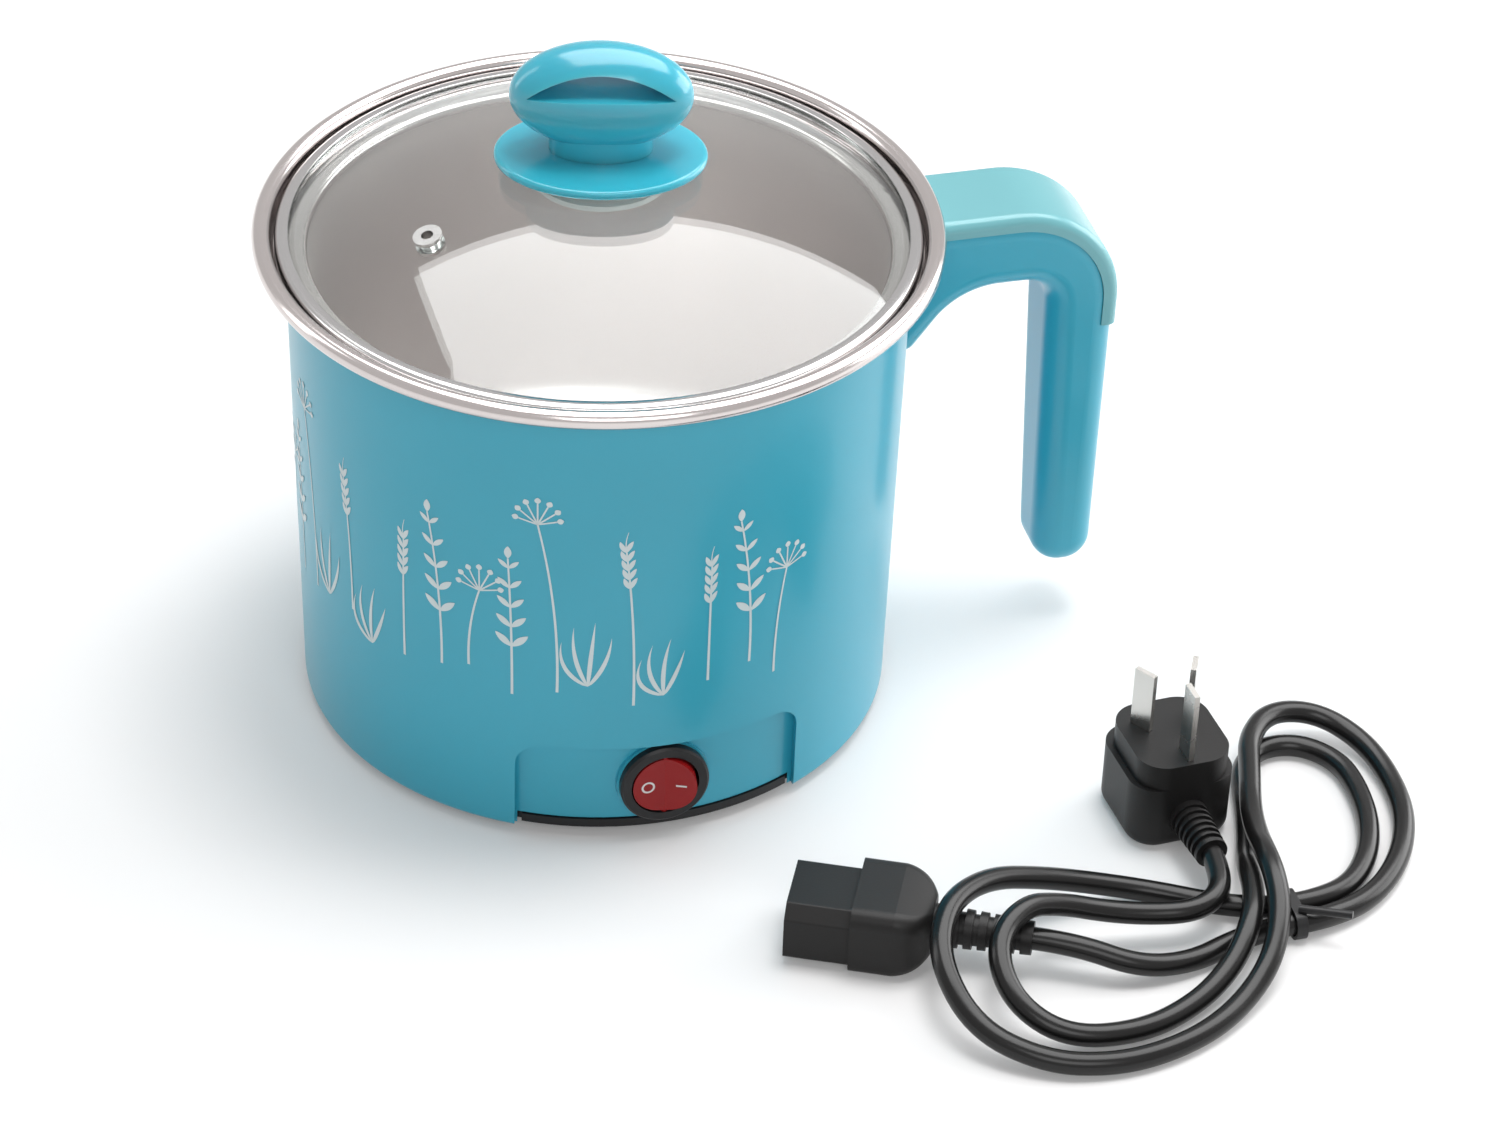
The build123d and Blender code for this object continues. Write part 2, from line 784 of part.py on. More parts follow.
with BuildPart() as handle_body:
    add(handle_form())
    fillet(handle_body.edges().filter_by(side_edge), handle_edge_round)
    with BuildSketch(Plane.XZ):
        with BuildLine():
            cap_region(0)
        make_face()
    extrude(amount=handle_width, both=True, mode=Mode.SUBTRACT)
    add(wall_space.part, mode=Mode.SUBTRACT)
    with BuildSketch(Plane.YZ.offset(bore_radius)):
        with Locations((0, handle_screw_middle)):
            with GridLocations(0, handle_screw_spacing, 1, 2):
                Circle(handle_screw_shank + screw_hole_gap)
    handle_screw_end = shell_radius(handle_screw_middle) + handle_screw_grip + handle_screw_spare
    extrude(amount=handle_screw_end - bore_radius, mode=Mode.SUBTRACT)
save(handle_body, "handle_body")

with BuildPart() as handle_cap:
    add(handle_form())
    with BuildSketch(Plane.XZ):
        with BuildLine():
            cap_region(cap_gap)
        make_face()
    extrude(amount=handle_width, both=True, mode=Mode.INTERSECT)
    fillet(handle_cap.edges().filter_by(outside_edge), cap_edge_round)
    add(wall_space.part, mode=Mode.SUBTRACT)
save(handle_cap, "handle_cap")

# Handle screws, driven from inside the shell
screw_span = handle_screw_spacing / 2 + handle_screw_head
narrow_wall = min(
    shell_radius(handle_screw_middle - screw_span),
    shell_radius(handle_screw_middle + screw_span),
)
handle_screw_seat = sqrt((narrow_wall - shell_wall) ** 2 - handle_screw_head**2)
with BuildPart() as handle_screws:
    with BuildSketch(Plane.YZ.offset(handle_screw_seat)):
        with Locations((0, handle_screw_middle)):
            with GridLocations(0, handle_screw_spacing, 1, 2):
                Circle(handle_screw_head)
    extrude(amount=-handle_screw_head_height)
    with BuildSketch(Plane.YZ.offset(handle_screw_seat)):
        with Locations((0, handle_screw_middle)):
            with GridLocations(0, handle_screw_spacing, 1, 2):
                Circle(handle_screw_shank)
    extrude(amount=handle_screw_grip)
save(handle_screws, "handle_screws")

# Lid glass: spherical dome with a flat edge, a hole for the knob screw and one for the vent
band_radius = seat_radius - lid_side_gap
band_bottom = ledge_top + lid_rest_gap
glass_bottom = band_bottom + band_sheet + glass_gap
glass_top = glass_bottom + glass_thickness
glass_radius = band_radius - band_sheet - glass_gap
dome_edge = band_radius - band_width - glass_gap
vent_offset = dome_edge - vent_inset
dome_sphere = (dome_edge**2 + dome_rise**2) / (2 * dome_rise)
dome_top = glass_top + dome_rise
dome_under = glass_bottom + dome_rise


def dome_drop(radius):
    """How far the dome lies below its crown at a distance from the axis."""
    return dome_sphere - sqrt(dome_sphere**2 - radius**2)


vent_tilt = degrees(asin(vent_offset / dome_sphere))
vent_turn = radians(vent_angle)
vent_height = dome_top - dome_drop(vent_offset)
vent_normal = (
    sin(radians(vent_tilt)) * cos(vent_turn),
    sin(radians(vent_tilt)) * sin(vent_turn),
    cos(radians(vent_tilt)),
)
vent_plane = Plane(
    origin=(vent_offset * cos(vent_turn), vent_offset * sin(vent_turn), vent_height),
    z_dir=vent_normal,
)
half_edge = dome_edge / 2
with BuildPart() as lid_glass:
    with BuildSketch(Plane.XZ):
        with BuildLine():
            Polyline((0, dome_under), (0, dome_top))
            half_top = dome_top - dome_drop(half_edge)
            ThreePointArc((0, dome_top), (half_edge, half_top), (dome_edge, glass_top))
            Polyline(
                (dome_edge, glass_top),
                (glass_radius, glass_top),
                (glass_radius, glass_bottom),
                (dome_edge, glass_bottom),
            )
            ThreePointArc(
                (dome_edge, glass_bottom), (half_edge, dome_under - dome_drop(half_edge)), (0, dome_under)
            )
        make_face()
    revolve(axis=Axis.Z)
    with BuildSketch(Plane.XY.offset(glass_bottom)):
        Circle(knob_screw_radius + 4 * screw_hole_gap)
    extrude(amount=2 * dome_rise, mode=Mode.SUBTRACT)
    with BuildSketch(vent_plane):
        Circle(vent_sleeve + lid_part_gap)
    extrude(amount=2 * glass_thickness, both=True, mode=Mode.SUBTRACT)
save(lid_glass, "lid_glass")

# Steel band folded round the edge of the glass
band_top = glass_top + glass_gap + band_sheet
with BuildPart() as lid_band:
    with BuildSketch(Plane.XZ):
        with BuildLine():
            closed_outline(
                (band_radius - band_width, band_bottom, 0),
                (band_radius, band_bottom, band_bottom_round),
                (band_radius, band_top, band_top_round),
                (band_radius - band_width, band_top, 0),
                (band_radius - band_width, band_top - band_sheet, 0),
                (band_radius - band_sheet, band_top - band_sheet, 0),
                (band_radius - band_sheet, band_bottom + band_sheet, 0),
                (band_radius - band_width, band_bottom + band_sheet, 0),
            )
        make_face()
    revolve(axis=Axis.Z)
save(lid_band, "lid_band")

# Steam vent: a flanged eyelet through the glass
vent_length = glass_thickness + 2 * lid_part_gap
with BuildPart() as vent_eyelet:
    with BuildSketch(vent_plane.offset(lid_part_gap)):
        Circle(vent_flange)
    extrude(amount=vent_flange_height)
    with BuildSketch(vent_plane.offset(-vent_length)):
        Circle(vent_flange)
    extrude(amount=-vent_flange_height)
    with BuildSketch(vent_plane.offset(lid_part_gap)):
        Circle(vent_sleeve)
    extrude(amount=-vent_length - lid_part_gap)
    with BuildSketch(vent_plane):
        Circle(vent_bore)
    extrude(amount=3 * glass_thickness, both=True, mode=Mode.SUBTRACT)
save(vent_eyelet, "vent_eyelet")

# Knob gasket, flat on top and curved to the dome below
gasket_top = dome_top + gasket_thickness
screw_hole = knob_screw_radius + screw_hole_gap
with BuildPart() as knob_gasket:
    with BuildSketch(Plane.XZ):
        with BuildLine():
            ThreePointArc(
                (screw_hole, dome_top - dome_drop(screw_hole) + lid_part_gap),
                (gasket_radius / 2, dome_top - dome_drop(gasket_radius / 2) + lid_part_gap),
                (gasket_radius, dome_top - dome_drop(gasket_radius) + lid_part_gap),
            )
            Polyline(
                (gasket_radius, dome_top - dome_drop(gasket_radius) + lid_part_gap),
                (gasket_radius, gasket_top),
                (screw_hole, gasket_top),
                (screw_hole, dome_top - dome_drop(screw_hole) + lid_part_gap),
            )
        make_face()
    revolve(axis=Axis.Z)
save(knob_gasket, "knob_gasket")

# Knob skirt: an oval disc with a rounded edge and a slightly crowned top, hollowed for the gasket
skirt_bottom = gasket_top - skirt_lift
skirt_top = gasket_top + skirt_thickness
knob_place = Location((0, 0, 0), (0, 0, knob_turn))
with BuildPart(mode=Mode.PRIVATE) as skirt_form:
    with BuildSketch(Plane.XZ):
        with BuildLine():
            closed_outline(
                (0, skirt_bottom, 0),
                (skirt_half_width, skirt_bottom, skirt_edge),
                (skirt_half_width, skirt_top - skirt_crown, skirt_edge),
                (neck_half_width, skirt_top, 0),
                (0, skirt_top, 0),
            )
        make_face()
    revolve(axis=Axis.Z)
    scale(by=(1, skirt_half_depth / skirt_half_width, 1))
with BuildPart() as knob_skirt:
    with Locations(knob_place):
        add(skirt_form.part)
    with BuildSketch(Plane.XY.offset(gasket_top)):
        Circle(gasket_radius + gasket_margin)
    extrude(amount=-skirt_thickness, mode=Mode.SUBTRACT)
    with BuildSketch(Plane.XY.offset(gasket_top)):
        Circle(screw_hole)
    extrude(amount=2 * skirt_thickness, mode=Mode.SUBTRACT)
save(knob_skirt, "knob_skirt")

# Knob grip: a short oval neck under a rounded loop with an arched finger opening
grip_middle = skirt_top + neck_height + knob_grip_height / 2
knob_plane = Plane(knob_place)
finger_plane = Plane(origin=(0, 0, grip_middle), x_dir=knob_plane.x_dir, z_dir=-knob_plane.y_dir)
with BuildPart(mode=Mode.PRIVATE) as grip_form:
    Sphere(1)
    scale(by=(grip_half_width, grip_half_depth, knob_grip_height / 2))
with BuildPart() as knob_grip:
    with Locations(Location((0, 0, grip_middle), (0, 0, knob_turn))):
        add(grip_form.part)
    with BuildSketch(knob_plane.offset(skirt_top)):
        Ellipse(neck_half_width, neck_half_depth)
    extrude(amount=neck_height + neck_bury)
    with BuildSketch(finger_plane):
        with BuildLine():
            left_corner = (-finger_half_width, finger_corner_rise)
            right_corner = (finger_half_width, finger_corner_rise)
            ThreePointArc(left_corner, (0, finger_top_rise), right_corner)
            ThreePointArc(right_corner, (0, finger_floor_rise), left_corner)
        make_face()
    extrude(amount=2 * grip_half_depth, both=True, mode=Mode.SUBTRACT)
    with BuildSketch(Plane.XY.offset(skirt_top)):
        Circle(screw_hole)
    extrude(amount=knob_screw_depth + screw_hole_gap, mode=Mode.SUBTRACT)
save(knob_grip, "knob_grip")

# Sealing washer under the glass, curved to the dome above
washer_bottom = dome_under - lid_washer_thickness
with BuildPart() as lid_washer:
    with BuildSketch(Plane.XZ):
        with BuildLine():
            ThreePointArc(
                (screw_hole, dome_under - dome_drop(screw_hole) - lid_part_gap),
                (lid_washer_radius / 2, dome_under - dome_drop(lid_washer_radius / 2) - lid_part_gap),
                (lid_washer_radius, dome_under - dome_drop(lid_washer_radius) - lid_part_gap),
            )
            Polyline(
                (lid_washer_radius, dome_under - dome_drop(lid_washer_radius) - lid_part_gap),
                (lid_washer_radius, washer_bottom),
                (screw_hole, washer_bottom),
                (screw_hole, dome_under - dome_drop(screw_hole) - lid_part_gap),
            )
        make_face()
    revolve(axis=Axis.Z)
save(lid_washer, "lid_washer")

# Steel washer and screw that hold the knob from below
with BuildPart() as plate_washer:
    with BuildSketch(Plane.XY.offset(washer_bottom)):
        Circle(plate_washer_radius)
        Circle(screw_hole, mode=Mode.SUBTRACT)
    extrude(amount=-plate_washer_thickness)
save(plate_washer, "plate_washer")

knob_screw_seat = washer_bottom - plate_washer_thickness
with BuildPart() as knob_screw:
    with BuildSketch(Plane.XY.offset(knob_screw_seat)):
        Circle(knob_screw_head)
    extrude(amount=-knob_screw_head_height)
    chamfer(knob_screw.faces().sort_by(Axis.Z)[0].edges(), knob_screw_head_height / 3)
    with BuildSketch(Plane.XY.offset(knob_screw_seat)):
        Circle(knob_screw_radius)
    extrude(amount=skirt_top + knob_screw_depth - knob_screw_seat)
save(knob_screw, "knob_screw")


def relief_grooves(plane, start, length):
    """Cut the ring grooves that let a moulded strain relief bend."""
    pitch = length / relief_ribs
    for ring in range(relief_ribs - 1):
        middle = start + pitch * (ring + relief_first)
        radius = relief_radius - (relief_radius - relief_end_radius) * (middle - start) / length
        with BuildSketch(plane.offset(middle)) as groove:
            Circle(2 * relief_radius)
            Circle(radius - relief_groove_depth, mode=Mode.SUBTRACT)
        extrude(groove.sketch, amount=relief_groove, mode=Mode.SUBTRACT)


# Connector: polarised nose, wider hood and a ribbed strain relief
connector_height = hood_height / 2
connector_plane = heading_plane(connector_spot, connector_height, connector_turn)
hood_end = nose_length + hood_length + hood_taper
relief_end = hood_end + relief_length
with BuildPart() as connector_body:
    with BuildSketch(connector_plane):
        with BuildLine():
            closed_outline(
                (-nose_width / 2, -nose_height / 2, nose_bottom_round),
                (nose_width / 2, -nose_height / 2, nose_bottom_round),
                (nose_width / 2, nose_height / 2 - nose_chamfer, nose_top_round),
                (nose_width / 2 - nose_chamfer, nose_height / 2, nose_top_round),
                (nose_chamfer - nose_width / 2, nose_height / 2, nose_top_round),
                (-nose_width / 2, nose_height / 2 - nose_chamfer, nose_top_round),
            )
        make_face()
    extrude(amount=nose_length)
    with BuildSketch(connector_plane.offset(nose_length)):
        RectangleRounded(hood_width, hood_height, hood_corner)
    extrude(amount=hood_length)
    with BuildSketch(connector_plane.offset(nose_length + hood_length)):
        RectangleRounded(hood_width, hood_height, hood_corner)
    with BuildSketch(connector_plane.offset(nose_length + hood_length + hood_middle)):
        RectangleRounded(hood_middle_width, hood_middle_height, hood_corner)
    with BuildSketch(connector_plane.offset(hood_end)):
        RectangleRounded(hood_end_width, hood_end_height, hood_corner)
    loft()
    with BuildSketch(connector_plane.offset(hood_end)):
        Circle(relief_radius)
    with BuildSketch(connector_plane.offset(relief_end)):
        Circle(relief_end_radius)
    loft()
    relief_grooves(connector_plane, hood_end, relief_length)
    with BuildSketch(connector_plane):
        with Locations(*pin_spots):
            Rectangle(contact_slot_width, contact_slot_height)
    extrude(amount=contact_slot_depth, mode=Mode.SUBTRACT)
save(connector_body, "connector_body")

# Brass contact sleeves at the back of the connector's slots
with BuildPart() as connector_contacts:
    with BuildSketch(connector_plane.offset(contact_slot_depth / 2)):
        with Locations(*pin_spots):
            Rectangle(contact_slot_width, contact_slot_height)
        with Locations(*pin_spots):
            Rectangle(
                contact_slot_width - 2 * contact_wall,
                contact_slot_height - 2 * contact_wall,
                mode=Mode.SUBTRACT,
            )
    extrude(amount=contact_slot_depth / 2)
save(connector_contacts, "connector_contacts")

# Plug: standing on its back with three flat blades up
plug_angle = radians(plug_turn)
plug_plane = Plane(
    origin=(plug_spot[0], plug_spot[1], 0),
    x_dir=(cos(plug_angle), sin(plug_angle), 0),
    z_dir=(0, 0, 1),
)
plug_exit = heading_plane(plug_spot, plug_relief_height, plug_turn)
plug_relief_end = plug_front + plug_relief_length
blade_along = blade_circle * cos(radians(blade_spread))
blade_aside = blade_circle * sin(radians(blade_spread))
blade_spots = [
    (-blade_along, -blade_aside, blade_slant, blade_length),
    (-blade_along, blade_aside, -blade_slant, blade_length),
    (earth_blade_offset, 0, 0, earth_blade_length),
]
with BuildPart() as plug_body:
    with BuildSketch(plug_plane):
        with BuildLine():
            closed_outline(
                (-plug_back, -plug_half_width, plug_round),
                (plug_front, -plug_half_width, plug_round),
                (plug_front, plug_half_width, plug_round),
                (-plug_back, plug_half_width, plug_round),
            )
        make_face()
    extrude(amount=plug_body_height)
    fillet(plug_body.faces().sort_by(Axis.Z)[0].edges(), plug_bottom_round)
    with BuildSketch(plug_plane.offset(plug_body_height)):
        with BuildLine():
            closed_outline(
                (plug_face_inset - plug_back, plug_face_inset - plug_half_width, plug_round),
                (plug_front, plug_face_inset - plug_half_width, plug_round),
                (plug_front, plug_half_width - plug_face_inset, plug_round),
                (plug_face_inset - plug_back, plug_half_width - plug_face_inset, plug_round),
            )
        make_face()
    extrude(amount=plug_face_height - plug_body_height)
    with BuildSketch(plug_exit.offset(plug_front - plug_bottom_round)):
        Circle(relief_radius)
    with BuildSketch(plug_exit.offset(plug_relief_end)):
        Circle(relief_end_radius)
    loft()
    relief_grooves(plug_exit, plug_front, plug_relief_length)
    for along, aside, slant, length in blade_spots:
        with BuildSketch(plug_plane.offset(plug_face_height)):
            with Locations((along, aside)):
                Rectangle(
                    blade_width + 2 * blade_pocket_gap,
                    blade_thickness + 2 * blade_pocket_gap,
                    rotation=slant,
                )
        extrude(amount=-blade_embed, mode=Mode.SUBTRACT)
save(plug_body, "plug_body")

# Plug blades, set in pockets in the face
with BuildPart() as plug_blades:
    for along, aside, slant, length in blade_spots:
        with BuildSketch(plug_plane.offset(plug_face_height - blade_embed)):
            with Locations((along, aside)):
                Rectangle(blade_width, blade_thickness, rotation=slant)
        extrude(amount=blade_embed + length)
save(plug_blades, "plug_blades")

# Cord: from the connector through the tie, round two right and two left loops, to the plug
cord_radius = cord_diameter / 2
cord_start = connector_plane.from_local_coords((0, 0, relief_end + cord_end_gap))
cord_second = connector_plane.from_local_coords((0, 0, relief_end + connector_cord_run))
cord_finish = plug_exit.from_local_coords((0, 0, plug_relief_end + cord_end_gap))
cord_before = plug_exit.from_local_coords((0, 0, plug_relief_end + plug_cord_run))
cord_route = [
    # Connector lead to the tie
    (104.0, -163.0, 5.5),
    (119.0, -161.5, 3.0),
    (132.0, -156.0, 3.0),
    (145.0, -154.4, 4.2),
    (157.0, -154.0, 4.2),
    # Outer right loop
    (172.0, -148.5, 3.0),
    (185.0, -136.0, 3.0),
    (193.5, -119.5, 3.0),
    (196.0, -101.5, 3.0),
    (193.5, -85.5, 4.0),
    (184.0, -75.0, 7.0),
    (170.0, -75.0, 9.7),
    (160.5, -85.0, 9.9),
    (156.0, -99.0, 9.8),
    (151.0, -113.5, 9.8),
    (148.0, -126.5, 12.0),
    (146.0, -137.5, 15.6),
    (145.0, -147.5, 16.0),
    (143.0, -158.5, 13.4),
    # Outer left loop
    (137.5, -169.5, 8.0),
    (128.5, -178.0, 4.0),
    (116.5, -186.5, 3.0),
    (102.0, -192.3, 3.0),
    (87.0, -194.0, 3.0),
    (70.5, -190.5, 4.0),
    (55.5, -178.5, 7.5),
    (50.5, -161.0, 16.0),
    (57.0, -145.0, 20.0),
    (71.0, -134.5, 18.0),
    (88.0, -131.0, 12.0),
    (104.0, -130.5, 6.5),
    (119.0, -133.5, 3.2),
    (132.5, -141.2, 3.0),
    (145.0, -147.0, 4.2),
    (157.0, -146.8, 4.2),
    # Inner right loop
    (169.0, -142.0, 3.0),
    (178.0, -131.5, 3.0),
    (183.5, -118.0, 3.0),
    (185.5, -104.0, 3.0),
    (184.5, -91.5, 3.0),
    (176.0, -82.0, 3.0),
    (164.0, -82.0, 3.0),
    (156.5, -91.0, 3.0),
    (153.5, -104.0, 3.0),
    (150.0, -116.0, 3.0),
    (145.5, -127.0, 5.0),
    (142.0, -137.5, 10.0),
    (140.0, -147.5, 10.7),
    (135.5, -158.0, 10.4),
    # Inner left loop
    (127.5, -168.0, 6.0),
    (115.0, -177.0, 3.2),
    (98.0, -184.0, 3.0),
    (78.0, -183.5, 4.5),
    (66.5, -173.0, 10.0),
    (66.0, -158.5, 16.5),
    (76.5, -148.5, 19.2),
    (88.0, -146.0, 15.5),
    (99.0, -146.5, 11.5),
    (110.5, -148.0, 9.5),
    (122.5, -149.7, 9.4),
    (130.6, -146.0, 10.0),
]
cord_points = [tuple(cord_start), tuple(cord_second)] + cord_route
cord_points += [tuple(cord_before), tuple(cord_finish)]
cord_radii = arc_radii(cord_points)
with BuildPart() as cord:
    with BuildLine() as cord_path:
        FilletPolyline(*cord_points, radius=cord_radii)
    with BuildSketch(connector_plane.offset(relief_end + cord_end_gap)):
        Circle(cord_radius)
    sweep(path=cord_path.wire())
save(cord, "cord")

# Twist tie: a flat band round the two strands at the waist, with its twisted tail
tie_half_width = tie_strand_spacing / 2 + cord_radius + tie_gap
tie_half_height = cord_radius + tie_gap
tie_plane = Plane(origin=tie_spot, x_dir=(0, 1, 0), z_dir=(1, 0, 0))
tail_height = tie_spot[2] + tie_half_height + tie_sheet + tie_tail_radius / 2
tail_plane = Plane(
    origin=(tie_spot[0], tie_spot[1] - tie_half_width / 2, tail_height),
    z_dir=tie_tail_way,
)
with BuildPart() as twist_tie:
    with BuildSketch(tie_plane):
        RectangleRounded(
            2 * (tie_half_width + tie_sheet),
            2 * (tie_half_height + tie_sheet),
            tie_half_height + tie_sheet / 2,
        )
        RectangleRounded(
            2 * tie_half_width,
            2 * tie_half_height,
            tie_half_height - tie_sheet / 2,
            mode=Mode.SUBTRACT,
        )
    extrude(amount=tie_width / 2, both=True)
    with BuildSketch(tail_plane):
        Circle(tie_tail_radius)
    extrude(amount=tie_tail)
save(twist_tie, "twist_tie")

# Leads inside the base, from terminal to terminal
lead_circle = post_circle - lead_inset
inlet_tail_end = pocket_face - inlet_body_depth - pin_tail - lead_gap
inlet_pin_height = inlet_height - pin_row_offset
switch_tab_end = switch_body_depth + lead_gap - pad_face + tab_length
element_pin_end = plate_under - element_radius - element_pin_drop - lead_gap
element_pin_x = element_circle * cos(radians(element_pin_angles[1]))
element_pin_y = element_circle * sin(radians(element_pin_angles[1]))
thermostat_tab_end = plate_under - thermostat_height - tab_length / 2 - lead_gap
fuse_height = plate_under - fuse_radius
fuse_end = fuse_length / 2 + lead_gap
inlet_run_end = inlet_tail_end - lead_run
switch_run_end = switch_tab_end + lead_run
lead_level = cover_top + lead_rise


def round_base(angle, height):
    """A spot on the circle that the long lead follows round the base."""
    return (lead_circle * cos(radians(angle)), lead_circle * sin(radians(angle)), height)


lead_routes = {
    "live_lead": [
        (pin_spacing / 2, inlet_tail_end, inlet_pin_height),
        (pin_spacing / 2, inlet_run_end, inlet_pin_height),
        round_base(40, lead_level),
        round_base(-10, lead_level + 1),
        round_base(-56, lead_level + 3),
        (switch_tab_spacing, switch_run_end, switch_height),
        (switch_tab_spacing, switch_tab_end, switch_height),
    ],
    "neutral_lead": [
        (-pin_spacing / 2, inlet_tail_end, inlet_pin_height),
        (-pin_spacing / 2, inlet_run_end, inlet_pin_height),
        (-(pin_spacing / 2 + element_pin_x) / 2, (inlet_run_end + element_pin_y) / 2, lead_level + 2),
        (-element_pin_x, element_pin_y, lead_level + 3),
        (-element_pin_x, element_pin_y, element_pin_end),
    ],
    "switched_lead": [
        (-switch_tab_spacing, switch_tab_end, switch_height),
        (-switch_tab_spacing, switch_run_end, switch_height),
        (-2 * switch_tab_spacing, 0.7 * switch_run_end, lead_level + 3),
        (-2 * switch_tab_spacing, 0.3 * switch_run_end, lead_level + 1),
        (-thermostat_radius / 2, 0, lead_level + 2),
        (-thermostat_radius / 2, 0, thermostat_tab_end),
    ],
    "fuse_lead": [
        (thermostat_radius / 2, 0, thermostat_tab_end),
        (thermostat_radius / 2, 0, lead_level + 3),
        (thermostat_radius / 4, fuse_offset / 2, lead_level + 2),
        (-1.5 * fuse_end, 0.9 * fuse_offset, lead_level + 4),
        (-2.6 * fuse_end, fuse_offset, lead_level + 10),
        (-2.5 * fuse_end, fuse_offset, fuse_height),
        (-fuse_end, fuse_offset, fuse_height),
    ],
    "element_lead": [
        (fuse_end, fuse_offset, fuse_height),
        (2.1 * fuse_end, fuse_offset, fuse_height),
        (2.3 * fuse_end, fuse_offset + 1, lead_level + 9),
        ((2.3 * fuse_end + element_pin_x) / 2, (fuse_offset + element_pin_y) / 2, lead_level + 3.5),
        (element_pin_x, element_pin_y, lead_level + 4),
        (element_pin_x, element_pin_y, element_pin_end),
    ],
    "earth_lead": [
        (0, inlet_tail_end, inlet_height + pin_row_offset),
        (0, (inlet_tail_end + element_circle) / 2, inlet_height + pin_row_offset),
        (0, element_circle, inlet_height + 2 * pin_row_offset),
        (0, element_circle, plate_under - lead_gap),
    ],
}
for name, points in lead_routes.items():
    first_run = Vector(*points[1]) - Vector(*points[0])
    with BuildPart() as lead:
        with BuildLine() as lead_path:
            FilletPolyline(*points, radius=arc_radii(points))
        with BuildSketch(Plane(origin=points[0], z_dir=first_run)):
            Circle(lead_diameter / 2)
        sweep(path=lead_path.wire())
    save(lead, name)
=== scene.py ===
# %% [markdown]
# # A round multicooker with a glass lid
# The imported CAD model is the fixed frame of this scene: every piece below is placed in its
# metres and its axes.

# %% Load the frame
import json
import math

import bmesh
import bpy
import numpy as np
from mathutils import Matrix, Vector


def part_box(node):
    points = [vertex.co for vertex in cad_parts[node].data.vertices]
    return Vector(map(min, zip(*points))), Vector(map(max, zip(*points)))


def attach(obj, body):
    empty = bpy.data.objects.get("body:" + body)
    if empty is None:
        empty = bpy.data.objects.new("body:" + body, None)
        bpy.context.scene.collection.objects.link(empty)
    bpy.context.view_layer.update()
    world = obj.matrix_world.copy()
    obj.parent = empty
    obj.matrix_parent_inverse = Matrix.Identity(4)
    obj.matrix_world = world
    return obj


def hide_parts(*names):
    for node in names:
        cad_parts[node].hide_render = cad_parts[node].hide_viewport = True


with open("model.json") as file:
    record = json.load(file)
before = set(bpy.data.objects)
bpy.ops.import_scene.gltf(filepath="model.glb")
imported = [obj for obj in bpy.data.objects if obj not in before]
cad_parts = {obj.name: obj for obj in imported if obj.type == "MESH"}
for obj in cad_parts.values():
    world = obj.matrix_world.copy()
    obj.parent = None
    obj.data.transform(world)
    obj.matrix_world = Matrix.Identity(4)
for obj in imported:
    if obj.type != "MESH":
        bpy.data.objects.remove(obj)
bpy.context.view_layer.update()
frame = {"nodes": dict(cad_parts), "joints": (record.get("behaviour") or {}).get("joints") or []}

scene = bpy.context.scene
scene.view_settings.view_transform = "Standard"
MM = 0.001

# %% [markdown]
# ## Camera
# The photograph looks down on the pot from the front, a little rolled. A camera is set by where it
# stands, its yaw, pitch and roll, and its focal length. Those were fitted to the rim, the base and
# the switch. The handle's own direction is the X axis, so the whole rig is turned about the pot.

# %% Camera
FRAME_WIDTH = 1500
SENSOR_WIDTH = 36.0
FOCAL_PIXELS = 4773.9
CAMERA_DISTANCE = 1.0500
CAMERA_HEIGHT = 0.8022
CAMERA_YAW = 0.0401
CAMERA_PITCH = 0.6320
CAMERA_ROLL = 0.0366
OBJECT_TURN = math.radians(-13.7)


def camera_matrix():
    """Columns right, up and back of a camera with a yaw, a pitch and a roll, turned about Z."""
    forward = Vector((
        math.sin(CAMERA_YAW) * math.cos(CAMERA_PITCH),
        math.cos(CAMERA_YAW) * math.cos(CAMERA_PITCH),
        -math.sin(CAMERA_PITCH),
    ))
    level = Vector((math.cos(CAMERA_YAW), -math.sin(CAMERA_YAW), 0.0))
    upright = level.cross(forward)
    right = level * math.cos(CAMERA_ROLL) + upright * math.sin(CAMERA_ROLL)
    up = upright * math.cos(CAMERA_ROLL) - level * math.sin(CAMERA_ROLL)
    turned_axes = Matrix((right, up, -forward)).transposed().to_4x4()
    stand = Matrix.Translation((0.0, -CAMERA_DISTANCE, CAMERA_HEIGHT))
    return Matrix.Rotation(OBJECT_TURN, 4, "Z") @ stand @ turned_axes


camera_data = bpy.data.cameras.new("camera")
camera_data.sensor_width = SENSOR_WIDTH
camera_data.lens = SENSOR_WIDTH * FOCAL_PIXELS / FRAME_WIDTH
camera = bpy.data.objects.new("camera", camera_data)
scene.collection.objects.link(camera)
camera.matrix_world = camera_matrix()
scene.camera = camera
print("camera at", [round(x, 3) for x in camera.location], "lens", round(camera_data.lens, 1))

# %% [markdown]
# ## Helpers for meshes and materials
# A surface is an array of points in rows and columns, so one function turns such a grid into faces
# and another puts it into a mesh. Materials share one start: a Principled shader whose colour and
# roughness vary a little by noise on Object coordinates, because a moulded or pressed surface is
# never quite even.


